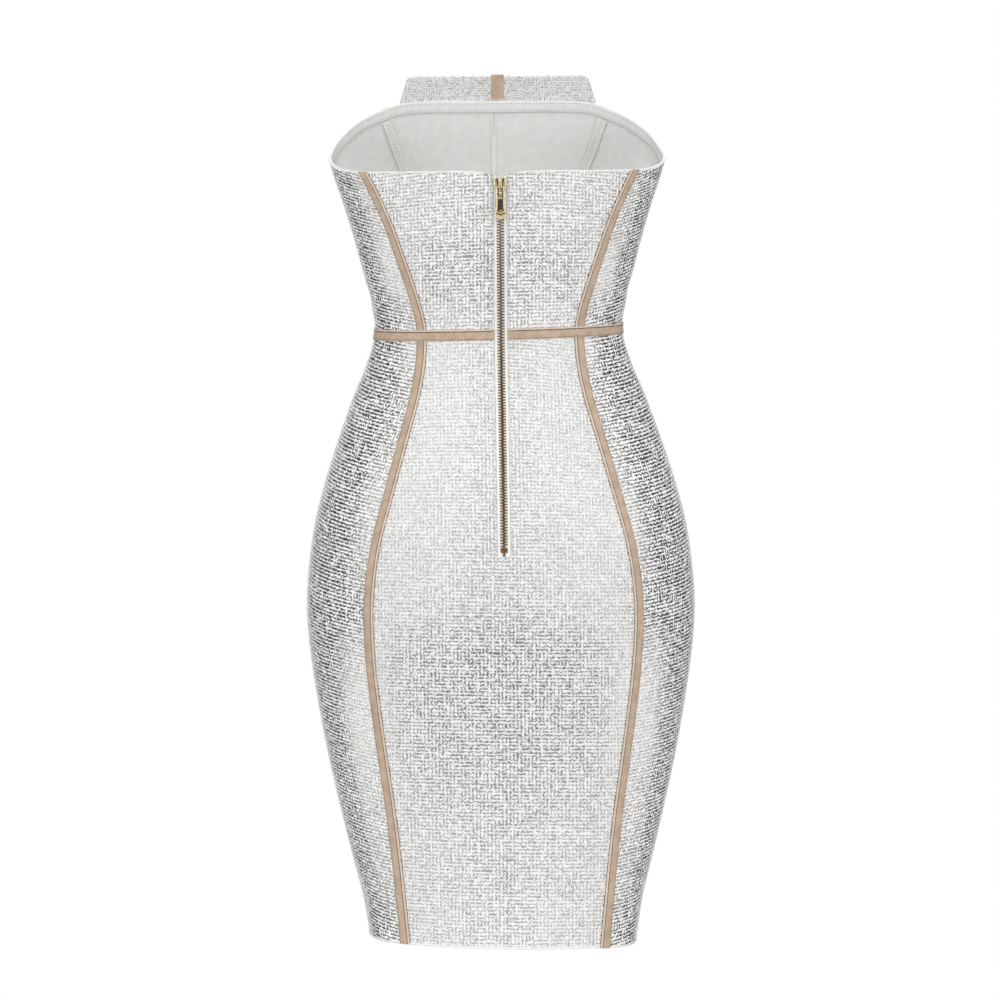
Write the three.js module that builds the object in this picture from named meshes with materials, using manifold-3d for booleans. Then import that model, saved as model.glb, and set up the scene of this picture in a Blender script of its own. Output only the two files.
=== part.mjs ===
// Strapless bodycon dress in a foil-printed bandage knit, filled out on a general figure.
// Millimetres. +Z is up, the front of the dress faces -Y and the wearer's left is +X.
// The origin is the centre of the waist seam.

import * as THREE from 'three';
import { mergeVertices } from 'three/addons/utils/BufferGeometryUtils.js';
import Module from 'manifold-3d';

const wasm = await Module();
wasm.setup();

// Cloth
const wall = 1.6;
const gap = 0.3; // between neighbours, and under whatever lies on a panel
const tapeWidth = 10;
const tapeThickness = 0.8;
const facingWidth = 11;
const facingThickness = 0.8;
const channelWidth = 12;
const channelThickness = 1.2;
const overTapeRamp = 2.5; // in which the waist tape comes down beside a tape it crosses

// Heights above the waist seam
const hem = -578;
const hemTilt = 4.5; // the wearer's left side of the hem hangs this much higher
const waistTilt = -2; // and that side of the waist seam this much lower
const zipEnd = -205;

// Body sections, from the hem up: the half width, the depths in front of and behind
// the side seams, and how square the oval is, where 2 is an ellipse.
const sections = [
  { height: -585, halfWidth: 126, front: 87, back: 88, square: 2.4 },
  { height: -540, halfWidth: 133, front: 88, back: 90, square: 2.35 },
  { height: -500, halfWidth: 143, front: 90, back: 93, square: 2.3 },
  { height: -450, halfWidth: 155, front: 92, back: 97, square: 2.25 },
  { height: -400, halfWidth: 166, front: 95, back: 103, square: 2.2 },
  { height: -350, halfWidth: 175, front: 98, back: 112, square: 2.2 },
  { height: -300, halfWidth: 182, front: 102, back: 121, square: 2.2 },
  { height: -260, halfWidth: 184.5, front: 105, back: 126, square: 2.2 },
  { height: -220, halfWidth: 182, front: 107, back: 127, square: 2.2 },
  { height: -180, halfWidth: 176, front: 108, back: 124, square: 2.2 },
  { height: -140, halfWidth: 165.5, front: 107, back: 116, square: 2.2 },
  { height: -100, halfWidth: 152.5, front: 102, back: 105, square: 2.15 },
  { height: -60, halfWidth: 138, front: 94, back: 92, square: 2.1 },
  { height: -30, halfWidth: 125.5, front: 88, back: 83, square: 2.1 },
  { height: 0, halfWidth: 117.5, front: 85, back: 78, square: 2.1 },
  { height: 30, halfWidth: 121.5, front: 88, back: 79, square: 2.1 },
  { height: 60, halfWidth: 129, front: 95, back: 82, square: 2.15 },
  { height: 90, halfWidth: 137, front: 105, back: 85, square: 2.2 },
  { height: 120, halfWidth: 146, front: 112, back: 86, square: 2.2 },
  { height: 150, halfWidth: 156, front: 114, back: 86, square: 2.2 },
  { height: 168, halfWidth: 160, front: 113, back: 85, square: 2.2 },
  { height: 217, halfWidth: 161, front: 106, back: 80, square: 2.2 },
  { height: 250, halfWidth: 161, front: 102, back: 78, square: 2.2 },
];

// The cups that the front princess seams shape
const cup = { turn: 37, height: 128, depth: 11, turnSpread: 19, heightSpread: 38 };

// Princess seams, from the hem up: how far each lies from the centre line
const backSeam = [
  { height: -585, reach: 92 },
  { height: -550, reach: 95.5 },
  { height: -500, reach: 101 },
  { height: -450, reach: 107 },
  { height: -400, reach: 114 },
  { height: -350, reach: 120.5 },
  { height: -300, reach: 125.5 },
  { height: -250, reach: 126.5 },
  { height: -200, reach: 120.5 },
  { height: -150, reach: 107.5 },
  { height: -100, reach: 93.5 },
  { height: -60, reach: 82 },
  { height: -30, reach: 76 },
  { height: 0, reach: 74 },
  { height: 15, reach: 76 },
  { height: 40, reach: 83 },
  { height: 70, reach: 93 },
  { height: 100, reach: 103.5 },
  { height: 125, reach: 114 },
  { height: 155, reach: 129 },
];
const frontSeam = [
  { height: -585, reach: 85 },
  { height: -500, reach: 92 },
  { height: -400, reach: 103 },
  { height: -300, reach: 112 },
  { height: -250, reach: 113 },
  { height: -200, reach: 108 },
  { height: -150, reach: 97 },
  { height: -100, reach: 84 },
  { height: -50, reach: 73 },
  { height: 0, reach: 67 },
  { height: 50, reach: 69 },
  { height: 100, reach: 76 },
  { height: 150, reach: 86 },
  { height: 220, reach: 108 },
];

// Top edge, by the turn in degrees from the centre front round to the centre back
const neckline = [
  { turn: 0, height: 216 },
  { turn: 25, height: 216 },
  { turn: 33, height: 214 },
  { turn: 41, height: 208 },
  { turn: 49, height: 201.5 },
  { turn: 56, height: 195 },
  { turn: 62, height: 189 },
  { turn: 68, height: 182 },
  { turn: 75, height: 174 },
  { turn: 83, height: 167.5 },
  { turn: 91, height: 163.5 },
  { turn: 100, height: 158.5 },
  { turn: 112, height: 154.5 },
  { turn: 124, height: 153 },
  { turn: 166, height: 153.5 },
  { turn: 173, height: 153 },
  { turn: 178.5, height: 149.5 },
  { turn: 180, height: 149.5 },
];

// Rows of points up the panels, and columns across each
const bodiceRows = 9;
const zipRows = 6; // of the skirt, from the waist seam to the zip's end
const lowerRows = 11; // from there to the hem
const centreColumns = 6;
const sideColumns = 4;

// Stiffened bow that stands above the front neckline. Its ends taper above one height.
const bow = { halfWidth: 93, topHalfWidth: 87, bottom: 185, top: 240.5, thickness: 2.4, corner: 6 };
const bowTaperFrom = 217;
const bowRowHeights = [196, 207, bowTaperFrom, 229]; // between its bottom and its top
const bowColumnShares = [0, 0.12, 0.25, 0.38, 0.5, 0.63, 0.76, 0.87, 0.94, 0.985, 1];
const bowStrip = { width: 12, thickness: 0.8 };

// Metal zip
const zip = { slot: 13, tapeReach: 16, chain: 7, chainThickness: 2.4, end: -196.7 };
const zipTapePast = 9; // how far the zip's tapes run on below the slit
const slider = { bottom: 133, top: 146.5, shoulder: 6.2, foot: 4.3, plate: 1.1, flange: 0.8 };
const crown = { neck: 4, topInset: 0.8, topDrop: 0.6, notch: 1.4, notchHalf: 1.6 };
const divider = { drop: 3, topHalf: 1.2 }; // the wedge that parts the two rows of teeth
const bail = { bottom: 136.5, top: 145.5, leg: 1.3, hole: 2.6, bar: 1.2, width: 2.2, root: 0.4 };
const bailCorner = 1.2;
const pull = { top: 8, waist: 8.4, end: 12, tip: 4.4, bottom: 108.5, thickness: 1.4, window: 6.6 };
const pullEnd = { shoulder: 8.2, widest: 4.6, rounding: 2, inset: 1.4, flare: 0.3 };
const pullTop = { corner: 1, drop: 1.6 };
const pullSlot = { top: 127.2, bottom: 116.8, width: 5.1 };
const bailClearance = 0.4; // on each side of the bail, in the pull's upper window
const pivotClearance = 0.1;
const topStop = { width: 1.6, height: 3, depth: 2.4, reach: 4.7, bottom: 146.8 };
const bottomStop = { width: 6.4, height: 4.4, thickness: 2.6 };

const materials = {
  foilKnit: new THREE.MeshStandardMaterial({ color: 0xd9dad8, roughness: 0.5, metalness: 0.2 }),
  tanTape: new THREE.MeshStandardMaterial({ color: 0xc9ad93, roughness: 0.85, metalness: 0 }),
  wrongSide: new THREE.MeshStandardMaterial({ color: 0xd3d4d1, roughness: 0.9, metalness: 0 }),
  zipTape: new THREE.MeshStandardMaterial({ color: 0xf2f2ee, roughness: 0.85, metalness: 0 }),
  darkBrass: new THREE.MeshStandardMaterial({ color: 0x7a6046, roughness: 0.4, metalness: 1 }),
  goldBrass: new THREE.MeshStandardMaterial({ color: 0xcfae6a, roughness: 0.25, metalness: 1 }),
};

// One column of a table at a place, on a smooth curve through its rows
function read(table, key, column, at) {
  const last = table.length - 1;
  let i = 0;
  while (i < last - 1 && at > table[i + 1][key]) i += 1;
  const slope = (k) => {
    const before = table[Math.max(k - 1, 0)];
    const after = table[Math.min(k + 1, last)];
    return (after[column] - before[column]) / (after[key] - before[key]);
  };
  const span = table[i + 1][key] - table[i][key];
  const t = THREE.MathUtils.clamp((at - table[i][key]) / span, 0, 1);
  const [a, b] = [table[i][column], table[i + 1][column]];
  const ease = t * t * (3 - 2 * t);
  const start = t * (1 - t) * (1 - t) * span * slope(i);
  const end = t * t * (t - 1) * span * slope(i + 1);
  return a + (b - a) * ease + start + end;
}

// The dress's outer surface. The turn is 0 at the centre front and grows towards +X.
function onBody(turn, height) {
  const at = (column) => read(sections, 'height', column, height);
  const power = 2 / at('square');
  const [sine, cosine] = [Math.sin(turn), Math.cos(turn)];
  const x = at('halfWidth') * Math.sign(sine) * Math.abs(sine) ** power;
  const reach = Math.abs(cosine) ** power;
  if (cosine < 0) return new THREE.Vector3(x, at('back') * reach, height);
  const off = (Math.abs(THREE.MathUtils.radToDeg(Math.asin(sine))) - cup.turn) / cup.turnSpread;
  const up = (height - cup.height) / cup.heightSpread;
  const fullness = cup.depth * Math.exp(-off * off - up * up) * Math.min(1, 3 * cosine);
  return new THREE.Vector3(x, -at('front') * reach - fullness, height);
}

// A point of the surface with the direction that faces out of it
function spotAt(turn, height) {
  const step = 0.01;
  const across = onBody(turn + step, height).sub(onBody(turn - step, height));
  const up = onBody(turn, height + 1).sub(onBody(turn, height - 1));
  return { point: onBody(turn, height), normal: across.cross(up).normalize(), lift: 0 };
}

// The turn, up to a quarter, at which the front surface lies a distance from the centre
function turnFor(x, height) {
  const share = x / read(sections, 'height', 'halfWidth', height);
  return Math.asin(Math.min(1, share) ** (read(sections, 'height', 'square', height) / 2));
}

const waistAt = (turn) => waistTilt * Math.sin(turn);
const hemAt = (turn) => hem + hemTilt * Math.sin(turn);

function necklineAt(turn) {
  const degrees = THREE.MathUtils.radToDeg(turn);
  return read(neckline, 'turn', 'height', degrees > 180 ? 360 - degrees : Math.abs(degrees));
}

// Height of a row of points, counted from the bottom of the bodice or skirt
const rowHeight = {
  bodice(row, turn) {
    return THREE.MathUtils.lerp(waistAt(turn) + gap / 2, necklineAt(turn), row / bodiceRows);
  },
  skirt(row, turn) {
    if (row < lowerRows) return THREE.MathUtils.lerp(hemAt(turn), zipEnd, row / lowerRows);
    return THREE.MathUtils.lerp(zipEnd, waistAt(turn) - gap / 2, (row - lowerRows) / zipRows);
  },
};
const rowCount = { bodice: bodiceRows, skirt: lowerRows + zipRows };

// Where the panels' edges lie on the wearer's left, by height
const edges = {
  centre: () => 0,
  front: (height) => turnFor(read(frontSeam, 'height', 'reach', height), height),
  side: () => Math.PI / 2,
  back: (height) => Math.PI - turnFor(read(backSeam, 'height', 'reach', height), height),
  zip: (height) => Math.PI - turnFor(zip.slot / 2, height),
};
const onLeft = (name) => edges[name];
const onRight = (name) => (height) => -edges[name](height);
const pastBack = (name) => (height) => 2 * Math.PI - edges[name](height);

// Half a seam's gap, as a turn
function halfGap(turn, height) {
  const step = 0.01;
  return (gap / 2) * (step / onBody(turn, height).distanceTo(onBody(turn + step, height)));
}

// Rows of spots between two edges, in equal turns, with half a gap kept at each seam
function panelRows(half, from, to, columns, seams = [true, true]) {
  const rows = [];
  for (let row = 0; row <= rowCount[half]; row += 1) {
    rows.push([]);
    for (let column = 0; column <= columns; column += 1) {
      let turn = 0;
      let height = rowHeight[half](row, to(0));
      for (let pass = 0; pass < 8; pass += 1) {
        const start = from(height) + (seams[0] ? halfGap(from(height), height) : 0);
        const end = to(height) - (seams[1] ? halfGap(to(height), height) : 0);
        turn = THREE.MathUtils.lerp(start, end, column / columns);
        height = rowHeight[half](row, turn);
      }
      rows[row].push(spotAt(turn, height));
    }
  }
  return rows;
}

function mix(a, b, share) {
  return {
    point: a.point.clone().lerp(b.point, share),
    normal: a.normal.clone().lerp(b.normal, share).normalize(),
    lift: THREE.MathUtils.lerp(a.lift, b.lift, share),
  };
}

// The spot a distance from one towards another
const towards = (a, b, distance) => mix(a, b, distance / a.point.distanceTo(b.point));

// The spot a distance in from the start or the end of a row
const inFromStart = (row, distance) => towards(row[0], row[1], distance);
const inFromEnd = (row, distance) => towards(row.at(-1), row.at(-2), distance);

// One row from the rows of neighbouring panels, with their seam edges made one
function joined(parts) {
  return parts.reduce((row, next) => {
    return [...row.slice(0, -1), mix(row.at(-1), next[0], 0.5), ...next.slice(1)];
  });
}

// Rows between two heights, with the cut ends worked out along the rows
function cropped(rows, lowest, highest) {
  const rowAt = (height) => {
    const above = rows.findIndex((row) => row[0].point.z > height);
    return rows[above].map((spot, column) => {
      const under = rows[above - 1][column];
      return mix(under, spot, (height - under.point.z) / (spot.point.z - under.point.z));
    });
  };
  const within = (row) => row[0].point.z > lowest + 1 && row[0].point.z < highest - 1;
  return [rowAt(lowest), ...rows.filter(within), rowAt(highest)];
}

// A closed wall over rows of spots, from one distance off them to another. A cell that
// keeps() refuses is left open.
function shell(rows, low, high, keeps = () => true) {
  const columns = rows[0].length;
  const spots = rows.flat();
  const positions = [];
  for (const distance of [high, low]) {
    for (const spot of spots) {
      const at = spot.point.clone().addScaledVector(spot.normal, distance + spot.lift);
      positions.push(at.x, at.y, at.z);
    }
  }
  const inner = spots.length;
  const indices = [];
  const kept = (r, c) => r >= 0 && c >= 0 && r < rows.length - 1 && c < columns - 1 && keeps(r, c);
  const edge = (a, b) => indices.push(b, a, a + inner, b, a + inner, b + inner);
  for (let r = 0; r < rows.length - 1; r += 1) {
    for (let c = 0; c < columns - 1; c += 1) {
      if (!kept(r, c)) continue;
      const p = r * columns + c;
      const [a, b, up, upNext] = [p, p + 1, p + columns, p + columns + 1];
      const length = (i, j) => spots[i].point.distanceTo(spots[j].point);
      const halves = length(a, upNext) <= length(b, up)
        ? [[a, b, upNext], [a, upNext, up]]
        : [[a, b, up], [b, upNext, up]];
      for (const [i, j, k] of halves) indices.push(i, j, k, i + inner, k + inner, j + inner);
      if (!kept(r - 1, c)) edge(a, b);
      if (!kept(r, c + 1)) edge(b, upNext);
      if (!kept(r + 1, c)) edge(upNext, up);
      if (!kept(r, c - 1)) edge(up, a);
    }
  }
  const geometry = new THREE.BufferGeometry();
  geometry.setAttribute('position', new THREE.Float32BufferAttribute(positions, 3));
  geometry.setIndex(indices);
  return geometry;
}

const dress = new THREE.Group();

function add(name, geometry, material, parent = dress) {
  geometry.computeVertexNormals();
  const mesh = new THREE.Mesh(geometry, material);
  mesh.name = name;
  parent.add(mesh);
  return mesh;
}

// Panels

const panels = {};
const sides = { left: onLeft, right: onRight };

function cutPanel(name, half, from, to, columns, seams) {
  panels[name] = panelRows(half, from, to, columns, seams);
  add(name, shell(panels[name], -wall, 0), materials.foilKnit);
}

for (const [side, edge] of Object.entries(sides)) {
  const turned = (a, b) => (side === 'left' ? [edge(a), edge(b)] : [edge(b), edge(a)]);
  cutPanel(`front_bodice_${side}`, 'bodice', ...turned('centre', 'front'), centreColumns);
  cutPanel(`front_bodice_side_${side}`, 'bodice', ...turned('front', 'side'), sideColumns);
  cutPanel(`back_bodice_side_${side}`, 'bodice', ...turned('side', 'back'), sideColumns);
  const seams = side === 'left' ? [true, false] : [false, true];
  cutPanel(`back_bodice_${side}`, 'bodice', ...turned('back', 'zip'), centreColumns, seams);
  cutPanel(`front_skirt_side_${side}`, 'skirt', ...turned('front', 'side'), sideColumns);
  cutPanel(`back_skirt_side_${side}`, 'skirt', ...turned('side', 'back'), sideColumns);
}
cutPanel('front_skirt', 'skirt', onRight('front'), onLeft('front'), 2 * centreColumns);

// The back skirt is one piece, slit from the waist seam to the zip's end
const backHalves = {
  left: panelRows('skirt', onLeft('back'), onLeft('zip'), centreColumns, [true, false]),
  right: panelRows('skirt', pastBack('zip'), pastBack('back'), centreColumns, [false, true]),
};
panels.back_skirt = backHalves.left.map((row, i) => [...row, ...backHalves.right[i]]);
const besideSlit = (row, column) => row < lowerRows || column !== centreColumns;
add('back_skirt', shell(panels.back_skirt, -wall, 0, besideSlit), materials.foilKnit);

// Tapes over the princess seams, and boning channels inside the front ones

function overSeam(before, after, width) {
  return before.map((row, i) => [
    inFromEnd(row, width / 2),
    mix(row.at(-1), after[i][0], 0.5),
    inFromStart(after[i], width / 2),
  ]);
}

function seamRows(side, a, b, width) {
  const [before, after] = side === 'left' ? [a, b] : [b, a];
  return overSeam(panels[before], panels[after], width);
}

// The seams on one side, with the rows of what lies over each
function tapeRows(side, width) {
  const skirtHalf = backHalves[side];
  const skirtSide = panels[`back_skirt_side_${side}`];
  const backSkirt = side === 'left' ? [skirtSide, skirtHalf] : [skirtHalf, skirtSide];
  return {
    front_bodice: seamRows(side, `front_bodice_${side}`, `front_bodice_side_${side}`, width),
    back_bodice: seamRows(side, `back_bodice_side_${side}`, `back_bodice_${side}`, width),
    front_skirt: seamRows(side, 'front_skirt', `front_skirt_side_${side}`, width),
    back_skirt: overSeam(...backSkirt, width),
  };
}

// Rows whose top is lowered a distance below the neckline
function belowTop(rows, distance) {
  const top = rows.at(-1).map((spot, column) => towards(spot, rows.at(-2)[column], distance));
  return [...rows.slice(0, -1), top];
}

for (const side of Object.keys(sides)) {
  for (const [place, rows] of Object.entries(tapeRows(side, tapeWidth))) {
    add(`${place}_tape_${side}`, shell(rows, gap, gap + tapeThickness), materials.tanTape);
  }
  const channel = belowTop(tapeRows(side, channelWidth).front_bodice, facingWidth + 2 * gap);
  const face = -wall - gap;
  add(`bust_channel_${side}`, shell(channel, face - channelThickness, face), materials.wrongSide);
}

// Waist tape, which crosses over the ends of the princess tapes and stops at the zip

function overTapes(row, atStart, atEnd) {
  const lifted = (spot) => ({ ...spot, lift: tapeThickness + gap });
  const near = tapeWidth / 2 + gap;
  const far = near + overTapeRamp;
  const start = atStart
    ? [lifted(row[0]), lifted(inFromStart(row, near)), inFromStart(row, far)]
    : [row[0]];
  const end = atEnd
    ? [inFromEnd(row, far), lifted(inFromEnd(row, near)), lifted(row.at(-1))]
    : [row.at(-1)];
  return [...start, ...row.slice(1, -1), ...end];
}

const bodiceRing = [
  { rows: panels.back_bodice_right, tapes: [false, true] },
  { rows: panels.back_bodice_side_right, tapes: [true, false] },
  { rows: panels.front_bodice_side_right, tapes: [false, true] },
  { rows: panels.front_bodice_right, tapes: [true, false] },
  { rows: panels.front_bodice_left, tapes: [false, true] },
  { rows: panels.front_bodice_side_left, tapes: [true, false] },
  { rows: panels.back_bodice_side_left, tapes: [false, true] },
  { rows: panels.back_bodice_left, tapes: [true, false] },
];
const skirtRing = [
  { rows: backHalves.right, tapes: [false, true] },
  { rows: panels.back_skirt_side_right, tapes: [true, false] },
  { rows: panels.front_skirt_side_right, tapes: [false, true] },
  { rows: panels.front_skirt, tapes: [true, true] },
  { rows: panels.front_skirt_side_left, tapes: [true, false] },
  { rows: panels.back_skirt_side_left, tapes: [false, true] },
  { rows: backHalves.left, tapes: [true, false] },
];

// A row round the whole ring, a distance from one of its panels' rows to the next
function roundRing(ring, row, next, distance) {
  return joined(ring.map(({ rows, tapes }) => {
    const base = rows.at(row);
    const level = base.map((spot, column) => towards(spot, rows.at(next)[column], distance));
    return overTapes(level, ...tapes);
  }));
}

const skirtEdge = roundRing(skirtRing, -1, -2, 0);
const waistRows = [
  roundRing(skirtRing, -1, -2, tapeWidth / 2),
  roundRing(bodiceRing, 0, 1, 0).map((spot, column) => mix(spot, skirtEdge[column], 0.5)),
  roundRing(bodiceRing, 0, 1, tapeWidth / 2),
];
add('waist_tape', shell(waistRows, gap, gap + tapeThickness), materials.tanTape);

// Neck facing, inside the top edge

function facing(name, ring) {
  const top = joined(ring.map((rows) => rows.at(-1)));
  const below = joined(ring.map((rows) => rows.at(-2)));
  const bottom = top.map((spot, column) => towards(spot, below[column], facingWidth));
  const face = -wall - gap;
  add(name, shell([bottom, top], face - facingThickness, face), materials.wrongSide);
}

// Rows that stop short of a panel's edge by a distance
function shortened(rows, atStart, distance) {
  return rows.map((row) => {
    const trimmed = [...row];
    if (atStart) trimmed[0] = inFromStart(row, distance);
    else trimmed[trimmed.length - 1] = inFromEnd(row, distance);
    return trimmed;
  });
}

// The back facings stop beside the zip's tapes
const clearOfZip = zip.tapeReach - zip.slot / 2 + 2 * gap;
facing('neck_facing_back_right', [
  shortened(panels.back_bodice_right, true, clearOfZip),
  shortened(panels.back_bodice_side_right, false, gap / 2),
]);
facing('neck_facing_front', [
  panels.front_bodice_side_right,
  panels.front_bodice_right,
  panels.front_bodice_left,
  panels.front_bodice_side_left,
]);
facing('neck_facing_back_left', [
  shortened(panels.back_bodice_side_left, true, gap / 2),
  shortened(panels.back_bodice_left, false, clearOfZip),
]);

// Bow across the front neckline, with rounded corners, and its centre strip

function bowRows() {
  const levels = [bow.bottom, ...bowRowHeights, bow.top];
  const mirrored = bowColumnShares.slice(1).map((share) => -share).reverse();
  const across = [...mirrored, ...bowColumnShares];
  return levels.map((level) => across.map((share) => {
    const taper = Math.max(0, (level - bowTaperFrom) / (bow.top - bowTaperFrom));
    const end = THREE.MathUtils.lerp(bow.halfWidth, bow.topHalfWidth, taper);
    const x = Math.abs(share) * end;
    const intoCorner = Math.max(0, x - (end - bow.corner));
    const rounded = bow.corner - Math.sqrt(Math.max(0, bow.corner ** 2 - intoCorner ** 2));
    const height = THREE.MathUtils.clamp(level, bow.bottom + rounded, bow.top - rounded);
    return spotAt(Math.sign(share) * turnFor(x, height), height);
  }));
}

add('neck_bow', shell(bowRows(), gap, gap + bow.thickness), materials.foilKnit);

// The strip runs from the neckline up the inside, over the top and down the outside
function stripOutline() {
  const at = (height, distance) => {
    const spot = spotAt(0, height);
    const point = spot.point.addScaledVector(spot.normal, distance);
    return new THREE.Vector2(point.y, point.z);
  };
  const outside = gap + bow.thickness + gap;
  const top = bow.top + gap;
  const bottom = bow.bottom - gap;
  const thick = bowStrip.thickness;
  const middle = (bow.bottom + bow.top) / 2;
  return [
    at(neckline[0].height + gap, 0),
    at(top, 0),
    at(top, outside),
    at(middle, outside),
    at(bottom, outside),
    at(bottom, gap),
    at(bottom - thick, gap),
    at(bottom - thick, outside + thick),
    at(middle, outside + thick),
    at(top + thick, outside + thick),
    at(top + thick, -thick),
    at(neckline[0].height + gap, -thick),
  ];
}

// An outline in the plane of Y and Z, as thick along X as width says, about x = 0
function extrudeAcross(outline, width, holes = []) {
  const shape = new THREE.Shape(outline);
  shape.holes = holes.map((hole) => new THREE.Path(hole));
  const geometry = new THREE.ExtrudeGeometry(shape, { depth: width, bevelEnabled: false });
  const [x, y, z] = [0, 1, 2].map((i) => new THREE.Vector3().setComponent(i, 1));
  geometry.applyMatrix4(new THREE.Matrix4().makeBasis(y, z, x));
  return geometry.translate(-width / 2, 0, 0);
}

add('neck_bow_strip', extrudeAcross(stripOutline(), bowStrip.width), materials.tanTape);

// Zip tapes behind the slit, and the chain between them

function zipColumn(half, row, x, back) {
  let height = rowHeight[half](row, Math.PI);
  let turn = Math.PI;
  for (let pass = 0; pass < 4; pass += 1) {
    turn = Math.PI + (back ? 1 : -1) * turnFor(x, height);
    height = rowHeight[half](row, turn);
  }
  return spotAt(turn, height);
}

// Rows from the middle of the zip out under one side's panels
function zipTapeRows(side) {
  const right = side === 'right';
  const across = (half, rows, row) => {
    const panelRow = right ? rows[row] : [...rows[row]].reverse();
    const under = zip.tapeReach - zip.slot / 2;
    return [zipColumn(half, row, gap / 2, right), panelRow[0], inFromStart(panelRow, under)];
  };
  const skirt = backHalves[side];
  const bodice = panels[`back_bodice_${side}`];
  const lower = [];
  for (let row = lowerRows - 1; row <= rowCount.skirt; row += 1) {
    lower.push(across('skirt', skirt, row));
  }
  const upper = [];
  for (let row = 0; row <= bodiceRows; row += 1) upper.push(across('bodice', bodice, row));
  const seam = lower.at(-1).map((spot, column) => mix(spot, upper[0][column], 0.5));
  const rows = [...lower.slice(0, -1), seam, ...upper.slice(1)];
  return right ? rows : rows.map((row) => row.reverse());
}

const tapeEnd = zipEnd - zipTapePast;
const behind = -wall - gap;
const zipHalves = { left: zipTapeRows('left'), right: zipTapeRows('right') };
for (const [side, rows] of Object.entries(zipHalves)) {
  const highest = Math.min(...rows.at(-1).map((spot) => spot.point.z)) - 0.1;
  const tape = cropped(rows, tapeEnd, highest);
  add(`zip_tape_${side}`, shell(tape, behind - tapeThickness, behind), materials.zipTape);
}

const chainRows = zipHalves.left.map((row, i) => {
  const [leftEdge, leftMiddle] = row.slice(1);
  const [rightMiddle, rightEdge] = zipHalves.right[i];
  const centre = mix(leftMiddle, rightMiddle, 0.5);
  const reach = zip.chain / 2;
  return [towards(centre, leftEdge, reach), centre, towards(centre, rightEdge, reach)];
});

// The chain stands between the stop at its foot and the slider
const chainTop = slider.bottom - gap;
const chainBottom = zip.end + gap;
const chainLow = -wall;
const chainBody = shell(cropped(chainRows, chainBottom, chainTop), chainLow,
  chainLow + zip.chainThickness);
add('zip_chain', chainBody, materials.darkBrass);

const stopRows = cropped(chainRows, zip.end - bottomStop.height, zip.end).map((row) => {
  const reach = bottomStop.width / 2;
  return [towards(row[1], row[0], reach), row[1], towards(row[1], row[2], reach)];
});
const stopBody = shell(stopRows, chainLow, chainLow + bottomStop.thickness);
add('zip_bottom_stop', stopBody, materials.darkBrass);

// Slider and pull tab, in a group whose y is 0 on the cloth's face at the centre back

const zipHead = new THREE.Group();
zipHead.position.y = onBody(Math.PI, (slider.top + slider.bottom) / 2).y;
dress.add(zipHead);

function toSolid(source) {
  const geometry = source.index ? source.toNonIndexed() : source.clone();
  geometry.deleteAttribute('normal');
  geometry.deleteAttribute('uv');
  const merged = mergeVertices(geometry);
  return new wasm.Manifold(new wasm.Mesh({
    numProp: 3,
    vertProperties: new Float32Array(merged.attributes.position.array),
    triVerts: new Uint32Array(merged.index.array),
  }));
}

function toGeometry(solid) {
  const { vertProperties, triVerts } = solid.getMesh();
  const geometry = new THREE.BufferGeometry();
  geometry.setAttribute('position', new THREE.BufferAttribute(vertProperties, 3));
  geometry.setIndex(new THREE.BufferAttribute(triVerts, 1));
  return geometry;
}

// An outline in the plane of X and Z, standing on y = from and as deep as depth says.
// Seen from behind the dress, its points run clockwise.
function extrudeOut(outline, from, depth, holes = []) {
  const points = (list) => list.map(([x, z]) => new THREE.Vector2(-x, z));
  const shape = new THREE.Shape(points(outline));
  shape.holes = holes.map((hole) => new THREE.Path(points(hole)));
  const geometry = new THREE.ExtrudeGeometry(shape, { depth, bevelEnabled: false });
  return geometry.rotateX(Math.PI / 2).rotateY(Math.PI).rotateX(Math.PI).translate(0, from, 0);
}

const faceOut = 2.2; // of the slider's front plate, from the cloth's face
const plateBack = faceOut - slider.plate;
const intoPlate = 0.1; // how far the slider's inner walls run into its plate

function sliderBody() {
  const { bottom, top, shoulder, foot, flange } = slider;
  const neck = top - crown.neck;
  const [topEdge, topReach] = [top - crown.topDrop, shoulder - crown.topInset];
  const outline = [
    [-foot, bottom], [foot, bottom], [shoulder, neck], [topReach, topEdge],
    [crown.notchHalf, top], [0, top - crown.notch], [-crown.notchHalf, top],
    [-topReach, topEdge], [-shoulder, neck],
  ];
  let solid = toSolid(extrudeOut(outline, plateBack, slider.plate));
  const depth = plateBack - chainLow + intoPlate;
  for (const way of [-1, 1]) {
    const wallOutline = [
      [way * foot, bottom], [way * shoulder, neck],
      [way * (shoulder - flange), neck], [way * (foot - flange), bottom],
    ];
    const ordered = way > 0 ? wallOutline : wallOutline.reverse();
    solid = solid.add(toSolid(extrudeOut(ordered, chainLow, depth)));
  }
  const wedge = [
    [0, neck - divider.drop], [crown.notchHalf, neck], [divider.topHalf, topEdge],
    [-divider.topHalf, topEdge], [-crown.notchHalf, neck],
  ];
  return solid.add(toSolid(extrudeOut(wedge, chainLow, depth)));
}

function bailBody() {
  const { bottom, top, leg, hole, bar, width } = bail;
  const root = faceOut - bail.root;
  const inside = faceOut + hole;
  const outside = inside + bar;
  const corner = bailCorner;
  const v = (y, z) => new THREE.Vector2(y, z);
  const outline = [
    v(root, bottom), v(outside - corner, bottom), v(outside, bottom + corner),
    v(outside, top - corner), v(outside - corner, top), v(root, top),
    v(root, top - leg), v(inside, top - leg), v(inside, bottom + leg), v(root, bottom + leg),
  ];
  return toSolid(extrudeAcross(outline, width));
}

add('zip_slider', toGeometry(sliderBody().add(bailBody())), materials.goldBrass, zipHead);

// The tab hangs from the bail by the bar above its upper window. Its pivot is that bar.
const pivotOut = faceOut + bail.hole / 2;
const pivotHeight = bail.bottom + bail.leg + gap + pull.thickness / 2 + pivotClearance;

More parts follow.
